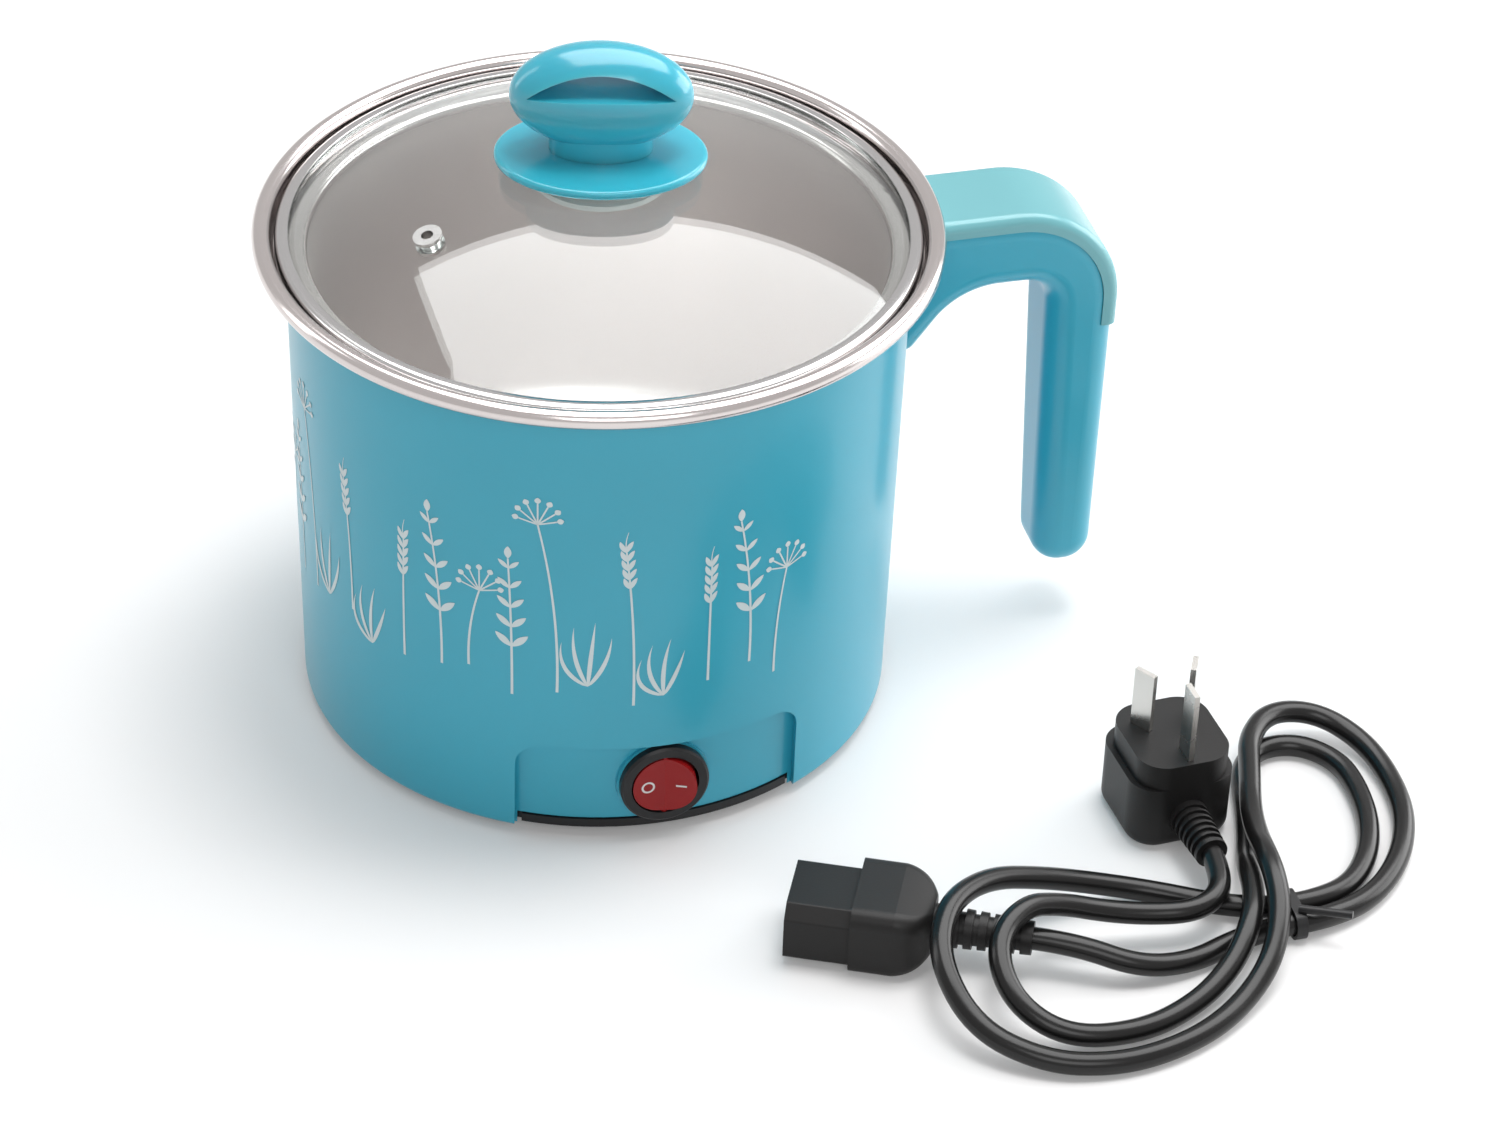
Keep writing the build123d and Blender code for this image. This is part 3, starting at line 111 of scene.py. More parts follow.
# %% Mesh helpers
def grid_faces(rows, columns, around_rows=False, around_columns=False):
    """Quads between neighbouring rows and columns of a grid, closed round where asked."""
    row = np.arange(rows if around_rows else rows - 1)
    column = np.arange(columns if around_columns else columns - 1)
    row, column = np.meshgrid(row, column, indexing="ij")
    next_row = (row + 1) % rows
    next_column = (column + 1) % columns
    corners = [
        row * columns + column,
        row * columns + next_column,
        next_row * columns + next_column,
        next_row * columns + column,
    ]
    return np.stack(corners, axis=-1).reshape(-1, 4)


def make_piece(name, points, faces, material, body):
    """Put arrays of points and faces into a smooth mesh object that rides on a CAD body."""
    mesh = bpy.data.meshes.new(name)
    mesh.from_pydata(points.reshape(-1, 3).tolist(), [], faces.tolist())
    mesh.polygons.foreach_set("use_smooth", np.full(len(mesh.polygons), True))
    mesh.materials.append(material)
    mesh.update()
    piece = bpy.data.objects.new(name, mesh)
    scene.collection.objects.link(piece)
    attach(piece, body)
    return piece


print("mesh helpers ready")


# %% Node helpers
def add_node(tree, kind, **settings):
    """A new node with its properties and its inputs set by name."""
    node = tree.nodes.new(kind)
    for key, value in settings.items():
        if key in node.inputs.keys():
            node.inputs[key].default_value = value
        else:
            setattr(node, key, value)
    return node


def start_material(name, **sockets):
    """A material, its node tree and its Principled shader, with plain sockets set by name."""
    material = bpy.data.materials.new(name)
    material.use_nodes = True
    shader = material.node_tree.nodes["Principled BSDF"]
    for key, value in sockets.items():
        shader.inputs[key.replace("_", " ")].default_value = value
    return material, material.node_tree, shader


print("node helpers ready")


# %% Pattern helpers
def object_point(tree, scale=(1.0, 1.0, 1.0)):
    """Object coordinates times a scale, as the place where a pattern is read."""
    place = add_node(tree, "ShaderNodeTexCoord")
    mapping = add_node(tree, "ShaderNodeMapping", Scale=scale)
    tree.links.new(place.outputs["Object"], mapping.inputs["Vector"])
    return mapping.outputs["Vector"]


def noise_at(tree, point, scale, detail):
    """Soft noise of a given number of grains to the metre."""
    noise = add_node(tree, "ShaderNodeTexNoise", Scale=scale, Detail=detail)
    tree.links.new(point, noise.inputs["Vector"])
    return noise.outputs["Fac"]


def between(tree, value, low, high, start=0.0, end=1.0):
    """Map a value from start to end onto low to high, with a soft start and end."""
    ramp = add_node(tree, "ShaderNodeMapRange", interpolation_type="SMOOTHSTEP")
    limits = {"From Min": start, "From Max": end, "To Min": low, "To Max": high}
    for socket, number in limits.items():
        ramp.inputs[socket].default_value = number
    tree.links.new(value, ramp.inputs["Value"])
    return ramp.outputs["Result"]


def colour_mix(tree, factor, first, second):
    """Blend two colours by a factor.

    A Mix node lists its sockets for every type, so the colour ones are picked.
    """
    blend = add_node(tree, "ShaderNodeMix", data_type="RGBA")
    tree.links.new(factor, blend.inputs["Factor"])
    colour_in = [socket for socket in blend.inputs if socket.type == "RGBA"]
    colour_in[0].default_value = (*first, 1.0)
    colour_in[1].default_value = (*second, 1.0)
    return next(socket for socket in blend.outputs if socket.type == "RGBA")


def add_bump(tree, shader, height, strength, depth):
    """Tilt the shading by a height pattern of a given depth in metres."""
    bump = add_node(tree, "ShaderNodeBump", Strength=strength, Distance=depth)
    tree.links.new(height, bump.inputs["Height"])
    tree.links.new(bump.outputs["Normal"], shader.inputs["Normal"])


print("pattern helpers ready")

# %% Moulded finish
CLOUDS_PER_METRE = 22.0
CLOUD_DETAIL = 1.0
CLOUD_ROUGHNESS = (0.9, 1.1)
SKIN_STRENGTH = 0.25


def moulded(name, pale, deep, rough, grain=0.0, depth=0.0, **sockets):
    """Moulded plastic: two near colours in slow clouds, and roughness from the same clouds.

    A skin of a given grain and depth lies on it, unless the depth is 0.
    """
    material, tree, shader = start_material(name, **sockets)
    cloud = noise_at(tree, object_point(tree), CLOUDS_PER_METRE, CLOUD_DETAIL)
    tint = colour_mix(tree, between(tree, cloud, 0.0, 1.0), pale, deep)
    tree.links.new(tint, shader.inputs["Base Color"])
    low, high = (rough * share for share in CLOUD_ROUGHNESS)
    tree.links.new(between(tree, cloud, low, high), shader.inputs["Roughness"])
    if depth > 0.0:
        skin = noise_at(tree, object_point(tree), grain, CLOUD_DETAIL)
        add_bump(tree, shader, skin, SKIN_STRENGTH, depth)
    return material


def dress(material, *nodes):
    """Give CAD nodes a material in all their slots."""
    for node in nodes:
        mesh = frame["nodes"][node].data
        mesh.materials.clear()
        mesh.materials.append(material)


print("moulded finish ready")

# %% [markdown]
# ## Floor and light
# The object stands on a seamless white table. A wide softbox hangs level overhead, a little behind
# it and to the right, and a smaller bright panel under it gives the shadow beside the pot its edge
# without showing in mirrors. Glass and steel show a second, brighter sheet at the softbox's place,
# which lights no matt surface: its reflection is the broad pale area on the front of the lid. Two
# low panels light the shell's edges and a weak one fills its front. Paper and backdrop look paler
# to the camera, to mirrors and to glass than they light the object, and the paper fades to plain
# white away from it, so no horizon shows from a low side.


# %% Rays and shares
def product(tree, first, second):
    """Two values multiplied."""
    times = add_node(tree, "ShaderNodeMath", operation="MULTIPLY")
    tree.links.new(first, times.inputs[0])
    tree.links.new(second, times.inputs[1])
    return times.outputs[0]


def mix_shaders(tree, factor, first, second):
    """Let the surface be one shader where the factor is 0 and another where it is 1."""
    mix = add_node(tree, "ShaderNodeMixShader")
    for source, socket in zip((factor, first.outputs[0], second.outputs[0]), mix.inputs):
        tree.links.new(source, socket)
    tree.links.new(mix.outputs[0], tree.nodes["Material Output"].inputs["Surface"])


def plain_sight(tree):
    """1 for rays from the camera, from mirrors and through glass, and 0 for rays that light."""
    path = add_node(tree, "ShaderNodeLightPath")
    seen = path.outputs["Is Camera Ray"]
    for ray in ("Is Glossy Ray", "Is Transmission Ray"):
        either = add_node(tree, "ShaderNodeMath", operation="MAXIMUM")
        tree.links.new(seen, either.inputs[0])
        tree.links.new(path.outputs[ray], either.inputs[1])
        seen = either.outputs[0]
    return seen


print("ray helpers ready")

# %% Floor
TABLE_HALF = 4.0
NEAR_SHARE = 0.14
FADE_START, FADE_END = 0.45, 1.30
PAPER = (0.90, 0.895, 0.895, 1.0)
WHITE = (1.0, 1.0, 1.0, 1.0)


def paper_white(name):
    """Matt white with a share of plain white in plain sight: all of it far from the object."""
    material, tree, shader = start_material(name, Base_Color=PAPER, Roughness=0.9)
    glow = add_node(tree, "ShaderNodeEmission", Color=WHITE, Strength=1.0)
    reach = add_node(tree, "ShaderNodeVectorMath", operation="LENGTH")
    tree.links.new(object_point(tree), reach.inputs[0])
    fade = between(tree, reach.outputs["Value"], NEAR_SHARE, 1.0, FADE_START, FADE_END)
    mix_shaders(tree, product(tree, plain_sight(tree), fade), shader, glow)
    return material


floor_mesh = bpy.data.meshes.new("floor")
floor_corners = [
    (-TABLE_HALF, -TABLE_HALF, 0.0), (TABLE_HALF, -TABLE_HALF, 0.0),
    (TABLE_HALF, TABLE_HALF, 0.0), (-TABLE_HALF, TABLE_HALF, 0.0),
]
floor_mesh.from_pydata(floor_corners, [], [(0, 1, 2, 3)])
floor_mesh.materials.append(paper_white("table_paper"))
floor = bpy.data.objects.new("floor", floor_mesh)
scene.collection.objects.link(floor)
print("floor", 2 * TABLE_HALF, "m wide")

# %% Backdrop
BACKDROP = (0.87, 0.86, 0.855, 1.0)
WORLD_FILL = 0.24
WORLD_SEEN = 0.75
WORLD_WHITE = 1.16

world = bpy.data.worlds.new("studio")
scene.world = world
world.use_nodes = True
sky = world.node_tree
backdrop = sky.nodes["Background"]
backdrop.inputs["Color"].default_value = BACKDROP
sky_ray = add_node(sky, "ShaderNodeLightPath")
sky_level = add_node(sky, "ShaderNodeMath", operation="MULTIPLY_ADD")
sky.links.new(sky_ray.outputs["Is Camera Ray"], sky_level.inputs[0])
sky_level.inputs[1].default_value = WORLD_WHITE - WORLD_SEEN
sky.links.new(between(sky, plain_sight(sky), WORLD_FILL, WORLD_SEEN), sky_level.inputs[2])
sky.links.new(sky_level.outputs[0], backdrop.inputs["Strength"])
print("backdrop lights at", WORLD_FILL, "and shows at", WORLD_SEEN)

# %% Soft panels
OVERHEAD = (0.85, 0.90, 2.40)
ABOVE_OVERHEAD = (0.85, 0.90, 2.41)
BELOW = (0.85, 0.90, 0.0)
OVERHEAD_SIZE = (3.8, 2.5)
POT_MIDDLE = (0.0, 0.0, 0.08)


def soft_panel(name, spot, aim, size, power):
    """A rectangular area lamp, placed and aimed in the camera's right, away and up directions."""
    turn = Matrix.Rotation(OBJECT_TURN, 3, "Z")
    spot, aim = turn @ Vector(spot), turn @ Vector(aim)
    data = bpy.data.lights.new(name, "AREA")
    data.shape = "RECTANGLE"
    data.size, data.size_y = size
    data.energy = power
    lamp = bpy.data.objects.new(name, data)
    lamp.location = spot
    lamp.rotation_euler = (aim - spot).to_track_quat("-Z", "Y").to_euler()
    scene.collection.objects.link(lamp)
    return lamp


soft_panel("softbox", OVERHEAD, BELOW, OVERHEAD_SIZE, 50.0)
key_panel = soft_panel("key_panel", (0.35, 0.15, 2.35), (0.0, 0.0, 0.1), (0.8, 0.8), 22.0)
key_panel.visible_glossy = False
key_panel.visible_transmission = False
shine_panel = soft_panel("shine_panel", ABOVE_OVERHEAD, BELOW, OVERHEAD_SIZE, 98.0)
shine_panel.visible_diffuse = False
soft_panel("edge_panel_right", (0.90, 0.30, 0.30), POT_MIDDLE, (0.8, 0.5), 5.5)
soft_panel("edge_panel_left", (-1.6, 0.4, 0.7), POT_MIDDLE, (0.4, 1.4), 4.0)
soft_panel("front_fill", (0.3, -1.9, 1.5), (0.0, 0.0, 0.05), (1.4, 1.0), 13.0)
print("lamps", len(bpy.data.lights))

# %% [markdown]
# ## Mains lead
# A mains lead is one smooth flexible line, so it is a NURBS curve whose control points are the
# route's points, with a round bevel of the cord's radius. The order is set after the points are
# added, because otherwise the curve stays a chain of straight runs.

# %% Cord route
CORD_DIAMETER = 6.0 * MM
CORD_ROUTE = [
    # Out of the connector
    (78.96, -151.22, 10.0), (88.91, -155.86, 10.0),
    # Connector lead to the tie
    (104.0, -163.0, 5.5), (119.0, -161.5, 3.0), (132.0, -156.0, 3.0), (145.0, -154.4, 4.2),
    (157.0, -154.0, 4.2),
    # Outer right loop
    (172.0, -148.5, 3.0), (185.0, -136.0, 3.0), (193.5, -119.5, 3.0), (196.0, -101.5, 3.0),
    (193.5, -85.5, 4.0), (184.0, -75.0, 7.0), (170.0, -75.0, 9.7), (160.5, -85.0, 9.9),
    (156.0, -99.0, 9.8), (151.0, -113.5, 9.8), (148.0, -126.5, 12.0), (146.0, -137.5, 15.6),
    (145.0, -147.5, 16.0), (143.0, -158.5, 13.4),
    # Outer left loop
    (137.5, -169.5, 8.0), (128.5, -178.0, 4.0), (116.5, -186.5, 3.0), (102.0, -192.3, 3.0),
    (87.0, -194.0, 3.0), (70.5, -190.5, 4.0), (55.5, -178.5, 7.5), (50.5, -161.0, 16.0),
    (57.0, -145.0, 20.0), (71.0, -134.5, 18.0), (88.0, -131.0, 12.0), (104.0, -130.5, 6.5),
    (119.0, -133.5, 3.2), (132.5, -141.2, 3.0), (145.0, -147.0, 4.2), (157.0, -146.8, 4.2),
    # Inner right loop
    (169.0, -142.0, 3.0), (178.0, -131.5, 3.0), (183.5, -118.0, 3.0), (185.5, -104.0, 3.0),
    (184.5, -91.5, 3.0), (176.0, -82.0, 3.0), (164.0, -82.0, 3.0), (156.5, -91.0, 3.0),
    (153.5, -104.0, 3.0), (150.0, -116.0, 3.0), (145.5, -127.0, 5.0), (142.0, -137.5, 10.0),
    (140.0, -147.5, 10.7), (135.5, -158.0, 10.4),
    # Inner left loop
    (127.5, -168.0, 6.0), (115.0, -177.0, 3.2), (98.0, -184.0, 3.0), (78.0, -183.5, 4.5),
    (66.5, -173.0, 10.0), (66.0, -158.5, 16.5), (76.5, -148.5, 19.2), (88.0, -146.0, 15.5),
    (99.0, -146.5, 11.5), (110.5, -148.0, 9.5), (122.5, -149.7, 9.4), (130.6, -146.0, 10.0),
    # Into the plug
    (134.04, -138.32, 10.2), (134.66, -129.44, 10.2),
]
print("cord points", len(CORD_ROUTE))

# %% Cord
black_vinyl = moulded(
    "black_vinyl", (0.007, 0.0068, 0.0068), (0.011, 0.0107, 0.0107), 0.24, 900.0, 0.00003,
    Specular_IOR_Level=0.35,
)
cord_curve = bpy.data.curves.new("mains_cord", "CURVE")
cord_curve.dimensions = "3D"
cord_line = cord_curve.splines.new("NURBS")
cord_line.points.add(len(CORD_ROUTE) - 1)
cord_points = np.ones((len(CORD_ROUTE), 4))
cord_points[:, :3] = np.array(CORD_ROUTE) * MM
cord_line.points.foreach_set("co", cord_points.ravel())
cord_line.order_u = 3
cord_line.use_endpoint_u = True
cord_line.resolution_u = 8
cord_curve.bevel_depth = CORD_DIAMETER / 2
cord_curve.bevel_resolution = 5
cord_curve.use_fill_caps = True
cord_curve.materials.append(black_vinyl)
mains_cord = bpy.data.objects.new("mains_cord", cord_curve)
scene.collection.objects.link(mains_cord)
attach(mains_cord, "power_cord")
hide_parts("cord")

# %% [markdown]
# ## Cyan plastic
# The shell, the handle and the knob are injection moulded in one glossy cyan. Real gloss is never
# flat: it has tiny changes of tone and polish over a few centimetres, so the moulded finish gets
# slow clouds of colour and roughness under a thin clear coat. The handle's cap is the same plastic,
# given a paler colour: painted light for the light that falls on its top. The small knob lets a
# little light into its skin.

# %% Cyan plastic
cyan_gloss = moulded(
    "cyan_gloss", (0.031, 0.360, 0.492), (0.037, 0.388, 0.530), 0.30,
    Coat_Weight=0.15, Coat_Roughness=0.10, Specular_IOR_Level=0.45,
)
# The same cyan painted paler for the handle's cap: painted light for its lit top
cyan_painted_lit_top = moulded(
    "cyan_painted_lit_top", (0.148, 0.412, 0.452), (0.160, 0.434, 0.476), 0.26,
    Coat_Weight=0.25, Coat_Roughness=0.10, Specular_IOR_Level=0.5,
)
knob_gloss = moulded(
    "knob_gloss", (0.038, 0.415, 0.545), (0.044, 0.440, 0.570), 0.22,
    Coat_Weight=0.40, Coat_Roughness=0.08, Specular_IOR_Level=0.5,
    Subsurface_Weight=0.5, Subsurface_Radius=(0.25, 1.0, 1.0), Subsurface_Scale=0.008,
)
dress(cyan_gloss, "outer_shell", "handle_body")
# Painted light: the cap gets the paler copy of the cyan, for the light on its top
dress(cyan_painted_lit_top, "handle_cap")
dress(knob_gloss, "knob_skirt", "knob_grip")
print("plastic on shell, handle and knob")

# %% [markdown]
# ## Polished steel
# The pot is pressed and spun, so its polish runs round the axis. Reading a noise by distance from
# the axis and by height gives rings on the floor and hoops on the wall, which stretch the
# reflections the way a spun pot does. The wall is satin, and the rolled rim above it is polished
# brighter.

# %% Polished steel
SATIN_TOP, POLISH_START = 0.131, 0.1365
SMEARS_PER_METRE = 16.0
SMEAR_DETAIL = 3.0
SMEAR_STRETCH = (1.0, 1.0, 0.5)
SMEAR_ROUGHNESS = (0.85, 1.2)
GROOVE_DETAIL = 2.0
GROOVE_STRENGTH, GROOVE_DEPTH = 0.3, 0.00001


def ring_point(tree, lines):
    """The place (distance from the Z axis, height, 0) times a number of lines to the metre."""
    place = add_node(tree, "ShaderNodeTexCoord")
    parts = add_node(tree, "ShaderNodeSeparateXYZ")
    tree.links.new(place.outputs["Object"], parts.inputs[0])
    flat = add_node(tree, "ShaderNodeCombineXYZ")
    tree.links.new(parts.outputs["X"], flat.inputs["X"])
    tree.links.new(parts.outputs["Y"], flat.inputs["Y"])
    reach = add_node(tree, "ShaderNodeVectorMath", operation="LENGTH")
    tree.links.new(flat.outputs[0], reach.inputs[0])
    ring = add_node(tree, "ShaderNodeCombineXYZ")
    for source, socket in ((reach.outputs["Value"], "X"), (parts.outputs["Z"], "Y")):
        times = add_node(tree, "ShaderNodeMath", operation="MULTIPLY")
        times.inputs[1].default_value = lines
        tree.links.new(source, times.inputs[0])
        tree.links.new(times.outputs[0], ring.inputs[socket])
    return ring.outputs[0]


def spun_steel(name, pale, deep, satin, polish, lines):
    """Metal with fine rings about the axis, satin below the lid's seat and polished above it."""
    material, tree, shader = start_material(name, Metallic=1.0)
    smear = noise_at(tree, object_point(tree, SMEAR_STRETCH), SMEARS_PER_METRE, SMEAR_DETAIL)
    tint = colour_mix(tree, between(tree, smear, 0.0, 1.0), pale, deep)
    tree.links.new(tint, shader.inputs["Base Color"])
    place = add_node(tree, "ShaderNodeSeparateXYZ")
    tree.links.new(object_point(tree), place.inputs[0])
    finish = between(tree, place.outputs["Z"], satin, polish, SATIN_TOP, POLISH_START)
    uneven = product(tree, finish, between(tree, smear, *SMEAR_ROUGHNESS))
    tree.links.new(uneven, shader.inputs["Roughness"])
    rings = noise_at(tree, ring_point(tree, lines), 1.0, GROOVE_DETAIL)
    add_bump(tree, shader, rings, GROOVE_STRENGTH, GROOVE_DEPTH)
    return material


pot_steel = spun_steel("pot_steel", (0.72, 0.67, 0.66), (0.65, 0.60, 0.59), 0.42, 0.16, 1400.0)
band_steel = spun_steel("band_steel", (0.66, 0.65, 0.65), (0.58, 0.57, 0.57), 0.16, 0.16, 900.0)
print("steel for the pot and the lid band")

# %% [markdown]
# ## Spun pot and lid band
# A pressed pot is round to the last hair, and mirror steel shows every facet of a coarse mesh. So
# the pot and the folded band of the lid are turned from fine profiles: straight runs with a soft
# round in each corner, carried round the axis in 256 steps. The sizes are those of the CAD pot and
# band, which these replace.

# %% Turning a profile
TURN_STEPS = 256
CORNER_BEND = 0.2
SAME_SPOT = 1e-7


def arc(middle, radius, start, end, steps):
    """Points on a circle about a middle, from one angle in degrees to another."""
    angle = np.radians(np.linspace(start, end, steps))
    return np.array(middle) + radius * np.stack([np.cos(angle), np.sin(angle)], axis=1)


def corner(before, at, after, radius, steps=9):
    """A corner rounded by a quadratic blend whose ends lie one radius back along both runs.

    Its middle lies a fifth of the way from the corner to the line between those ends.
    """
    before, at, after = np.array(before), np.array(at), np.array(after)
    start = at + radius * (before - at) / np.hypot(*(before - at))
    end = at + radius * (after - at) / np.hypot(*(after - at))
    t = np.linspace(0.0, 1.0, steps)[:, None]
    middle = at + CORNER_BEND * ((start + end) / 2 - at)
    return (1 - t) ** 2 * start + 2 * t * (1 - t) * middle + t**2 * end


def turned(name, profile, material, body, replaced):
    """Carry a closed profile of radius and height in mm round Z, and merge it on the axis."""
    profile = np.concatenate(profile) * MM
    angle = np.linspace(0.0, 2.0 * math.pi, TURN_STEPS, endpoint=False)
    points = np.stack([
        np.outer(profile[:, 0], np.cos(angle)),
        np.outer(profile[:, 0], np.sin(angle)),
        np.repeat(profile[:, 1:], TURN_STEPS, axis=1),
    ], axis=-1)
    off_axis = profile[0, 0] > 0.0
    faces = grid_faces(len(profile), TURN_STEPS, around_rows=off_axis, around_columns=True)
    piece = make_piece(name, points, faces, material, body)
    shape = bmesh.new()
    shape.from_mesh(piece.data)
    bmesh.ops.remove_doubles(shape, verts=shape.verts, dist=SAME_SPOT)
    bmesh.ops.recalc_face_normals(shape, faces=shape.faces)
    shape.to_mesh(piece.data)
    shape.free()
    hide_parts(replaced)
    print(name, "faces", len(piece.data.polygons))


print("turning in", TURN_STEPS, "steps")

# %% Pot
RIM_RADIUS, RIM_TOP, BEAD = 90.0, 142.5, 2.4
SHEET = 0.8
SEAT, BORE = 85.2, 75.0
LEDGE, FLOOR_TOP = 136.0, 38.0
FLOOR_ROUND, EDGE_ROUND = 8.0, 0.8
BEAD_END = 540.0
BEAD_STEPS, FLOOR_STEPS = 41, 15
bead_middle = (RIM_RADIUS - BEAD, RIM_TOP - BEAD)
outer_seat, outer_bore = SEAT + SHEET, BORE + SHEET
under, ledge_under = FLOOR_TOP - SHEET, LEDGE - SHEET
outer_floor_round, outer_edge_round = FLOOR_ROUND + SHEET, EDGE_ROUND + SHEET
bead_start = 180.0 + math.degrees(math.acos((bead_middle[0] - outer_seat) / BEAD))
pot_profile = [
    np.array([[0.0, under]]),
    corner((0.0, under), (outer_bore, under), (outer_bore, LEDGE), outer_floor_round),
    corner((outer_bore, under), (outer_bore, ledge_under), (SEAT, ledge_under), EDGE_ROUND),
    corner((BORE, ledge_under), (outer_seat, ledge_under), (outer_seat, RIM_TOP), outer_edge_round),
    arc(bead_middle, BEAD, bead_start, BEAD_END, BEAD_STEPS),
    corner((SEAT, RIM_TOP), (SEAT, LEDGE), (BORE, LEDGE), EDGE_ROUND),
    corner((SEAT, LEDGE), (BORE, LEDGE), (BORE, FLOOR_TOP), outer_edge_round),
    corner((BORE, LEDGE), (BORE, FLOOR_TOP), (0.0, FLOOR_TOP), FLOOR_ROUND, FLOOR_STEPS),
    np.array([[0.0, FLOOR_TOP]]),
]
turned("spun_pot", pot_profile, pot_steel, "cooker", "inner_pot")

# %% Lid band
BAND, BAND_WIDTH, BAND_SHEET = 84.2, 3.6, 0.6
BAND_LOW, BAND_TOP = 136.2, 141.1
BAND_FOOT_ROUND, BAND_SHOULDER_ROUND, BAND_LIP_ROUND = 1.2, 1.8, 0.25
LIP_STEPS = 5
fold, band_inside = BAND - BAND_WIDTH, BAND - BAND_SHEET
lip_under, foot_top = BAND_TOP - BAND_SHEET, BAND_LOW + BAND_SHEET
band_profile = [
    np.array([[fold, BAND_LOW]]),
    corner((fold, BAND_LOW), (BAND, BAND_LOW), (BAND, BAND_TOP), BAND_FOOT_ROUND),
    corner((BAND, BAND_LOW), (BAND, BAND_TOP), (fold, BAND_TOP), BAND_SHOULDER_ROUND),
    corner((BAND, BAND_TOP), (fold, BAND_TOP), (fold, BAND_LOW), BAND_LIP_ROUND, LIP_STEPS),
    corner((fold, BAND_TOP), (fold, lip_under), (BAND, lip_under), BAND_LIP_ROUND, LIP_STEPS),
    np.array([[band_inside, lip_under], [band_inside, foot_top], [fold, foot_top]]),
]
turned("spun_band", band_profile, band_steel, "lid", "lid_band")

# %% [markdown]
# ## Glass lid
# Tempered glass is a clear solid with two faces, so the CAD dome only needs a glass shader: full
# transmission and the index of window glass. Lamps are let through by a Transparent shader for
# shadow rays, because a path tracer would otherwise keep the inside of the pot dark.

# %% Glass lid
GLASS_TINT = (0.93, 0.965, 0.955, 1.0)
GLASS_SHADOW = (0.93, 0.96, 0.955, 1.0)
GLASS_INDEX = 1.52


def clear_glass(name):
    """Smooth, faintly tinted glass which lets lamp light through."""
    material, tree, shader = start_material(
        name, Base_Color=GLASS_TINT, Roughness=0.0, IOR=GLASS_INDEX, Transmission_Weight=1.0,
    )
    path = add_node(tree, "ShaderNodeLightPath")
    through = add_node(tree, "ShaderNodeBsdfTransparent", Color=GLASS_SHADOW)
    mix_shaders(tree, path.outputs["Is Shadow Ray"], shader, through)
    return material


dress(clear_glass("lid_clear_glass"), "lid_glass")
print("glass on the dome")

# %% [markdown]
# ## Black plastics, rubber and small metal
# The switch and the inlet are satin black mouldings, the connector and the plug are softer black
# vinyl with a spark-eroded grain, and the feet are rubber. The small metal pieces, most of them
# hidden, get plain plated, nickel, brass, cast and dull finishes.

# %% Black plastics and rubber
satin_black = moulded(
    "satin_black", (0.011, 0.011, 0.012), (0.016, 0.016, 0.017), 0.34, 500.0, 0.00005,
    Specular_IOR_Level=0.3,
)
grained_black = moulded(
    "grained_black", (0.009, 0.0085, 0.0085), (0.014, 0.0135, 0.0135), 0.42, 1500.0, 0.00008,
    Specular_IOR_Level=0.25,
)
foot_rubber = moulded(
    "foot_rubber", (0.030, 0.030, 0.031), (0.040, 0.040, 0.041), 0.75, 700.0, 0.00010,
)
milky_silicone = moulded(
    "milky_silicone", (0.70, 0.71, 0.70), (0.64, 0.65, 0.64), 0.45, 400.0, 0.00005,
)
dress(satin_black, "base_cover", "switch_housing", "power_inlet", "twist_tie")
dress(grained_black, "connector_body", "plug_body")
dress(foot_rubber, "rubber_foot_1", "rubber_foot_2", "rubber_foot_3", "rubber_foot_4")
dress(milky_silicone, "knob_gasket", "lid_washer")
print("black plastics and rubber")

# %% Small metal
PATCH_DETAIL = 3.0
PATCH_ROUGHNESS = (0.8, 1.25)
PATCH_STRENGTH, PATCH_DEPTH = 0.15, 0.00002


def plain_metal(name, pale, deep, rough, patches):
    """Metal with a number of patches to the metre, of two near tones and an uneven polish."""
    material, tree, shader = start_material(name, Metallic=1.0)
    patch = noise_at(tree, object_point(tree), patches, PATCH_DETAIL)
    tint = colour_mix(tree, between(tree, patch, 0.0, 1.0), pale, deep)
    tree.links.new(tint, shader.inputs["Base Color"])
    low, high = (rough * share for share in PATCH_ROUGHNESS)
    tree.links.new(between(tree, patch, low, high), shader.inputs["Roughness"])
    add_bump(tree, shader, patch, PATCH_STRENGTH, PATCH_DEPTH)
    return material


plated = plain_metal("plated_steel", (0.72, 0.72, 0.71), (0.62, 0.62, 0.61), 0.20, 260.0)
nickel = plain_metal("nickel_blades", (0.70, 0.68, 0.65), (0.64, 0.62, 0.59), 0.26, 70.0)
brass = plain_metal("contact_brass", (0.72, 0.52, 0.22), (0.62, 0.44, 0.18), 0.28, 300.0)
cast = plain_metal("cast_aluminium", (0.62, 0.62, 0.63), (0.52, 0.52, 0.53), 0.45, 240.0)
dull = plain_metal("dull_steel", (0.36, 0.36, 0.355), (0.28, 0.28, 0.275), 0.40, 180.0)
dress(plated, "base_screws", "inlet_screws", "handle_screws", "knob_screw")
dress(plated, "plate_washer", "vent_eyelet")
dress(nickel, "plug_blades", "inlet_pins", "switch_tabs")
dress(brass, "connector_contacts")
dress(cast, "heating_plate", "thermal_fuse")
dress(dull, "heating_element", "thermostat")
print("small metal")

# %% Wiring
LEAD_SHADE = 0.85
lead_tones = {
    "brown": ((0.090, 0.038, 0.016), ("live_lead", "switched_lead")),
    "blue": ((0.020, 0.075, 0.300), ("neutral_lead",)),
    "white": ((0.640, 0.640, 0.620), ("fuse_lead", "element_lead")),
    "green": ((0.110, 0.300, 0.040), ("earth_lead",)),
}
for tone, (colour, leads) in lead_tones.items():
    deeper = tuple(LEAD_SHADE * part for part in colour)
    dress(moulded(f"{tone}_insulation", colour, deeper, 0.45, 600.0, 0.00004), *leads)
print("leads in", len(lead_tones), "colours")

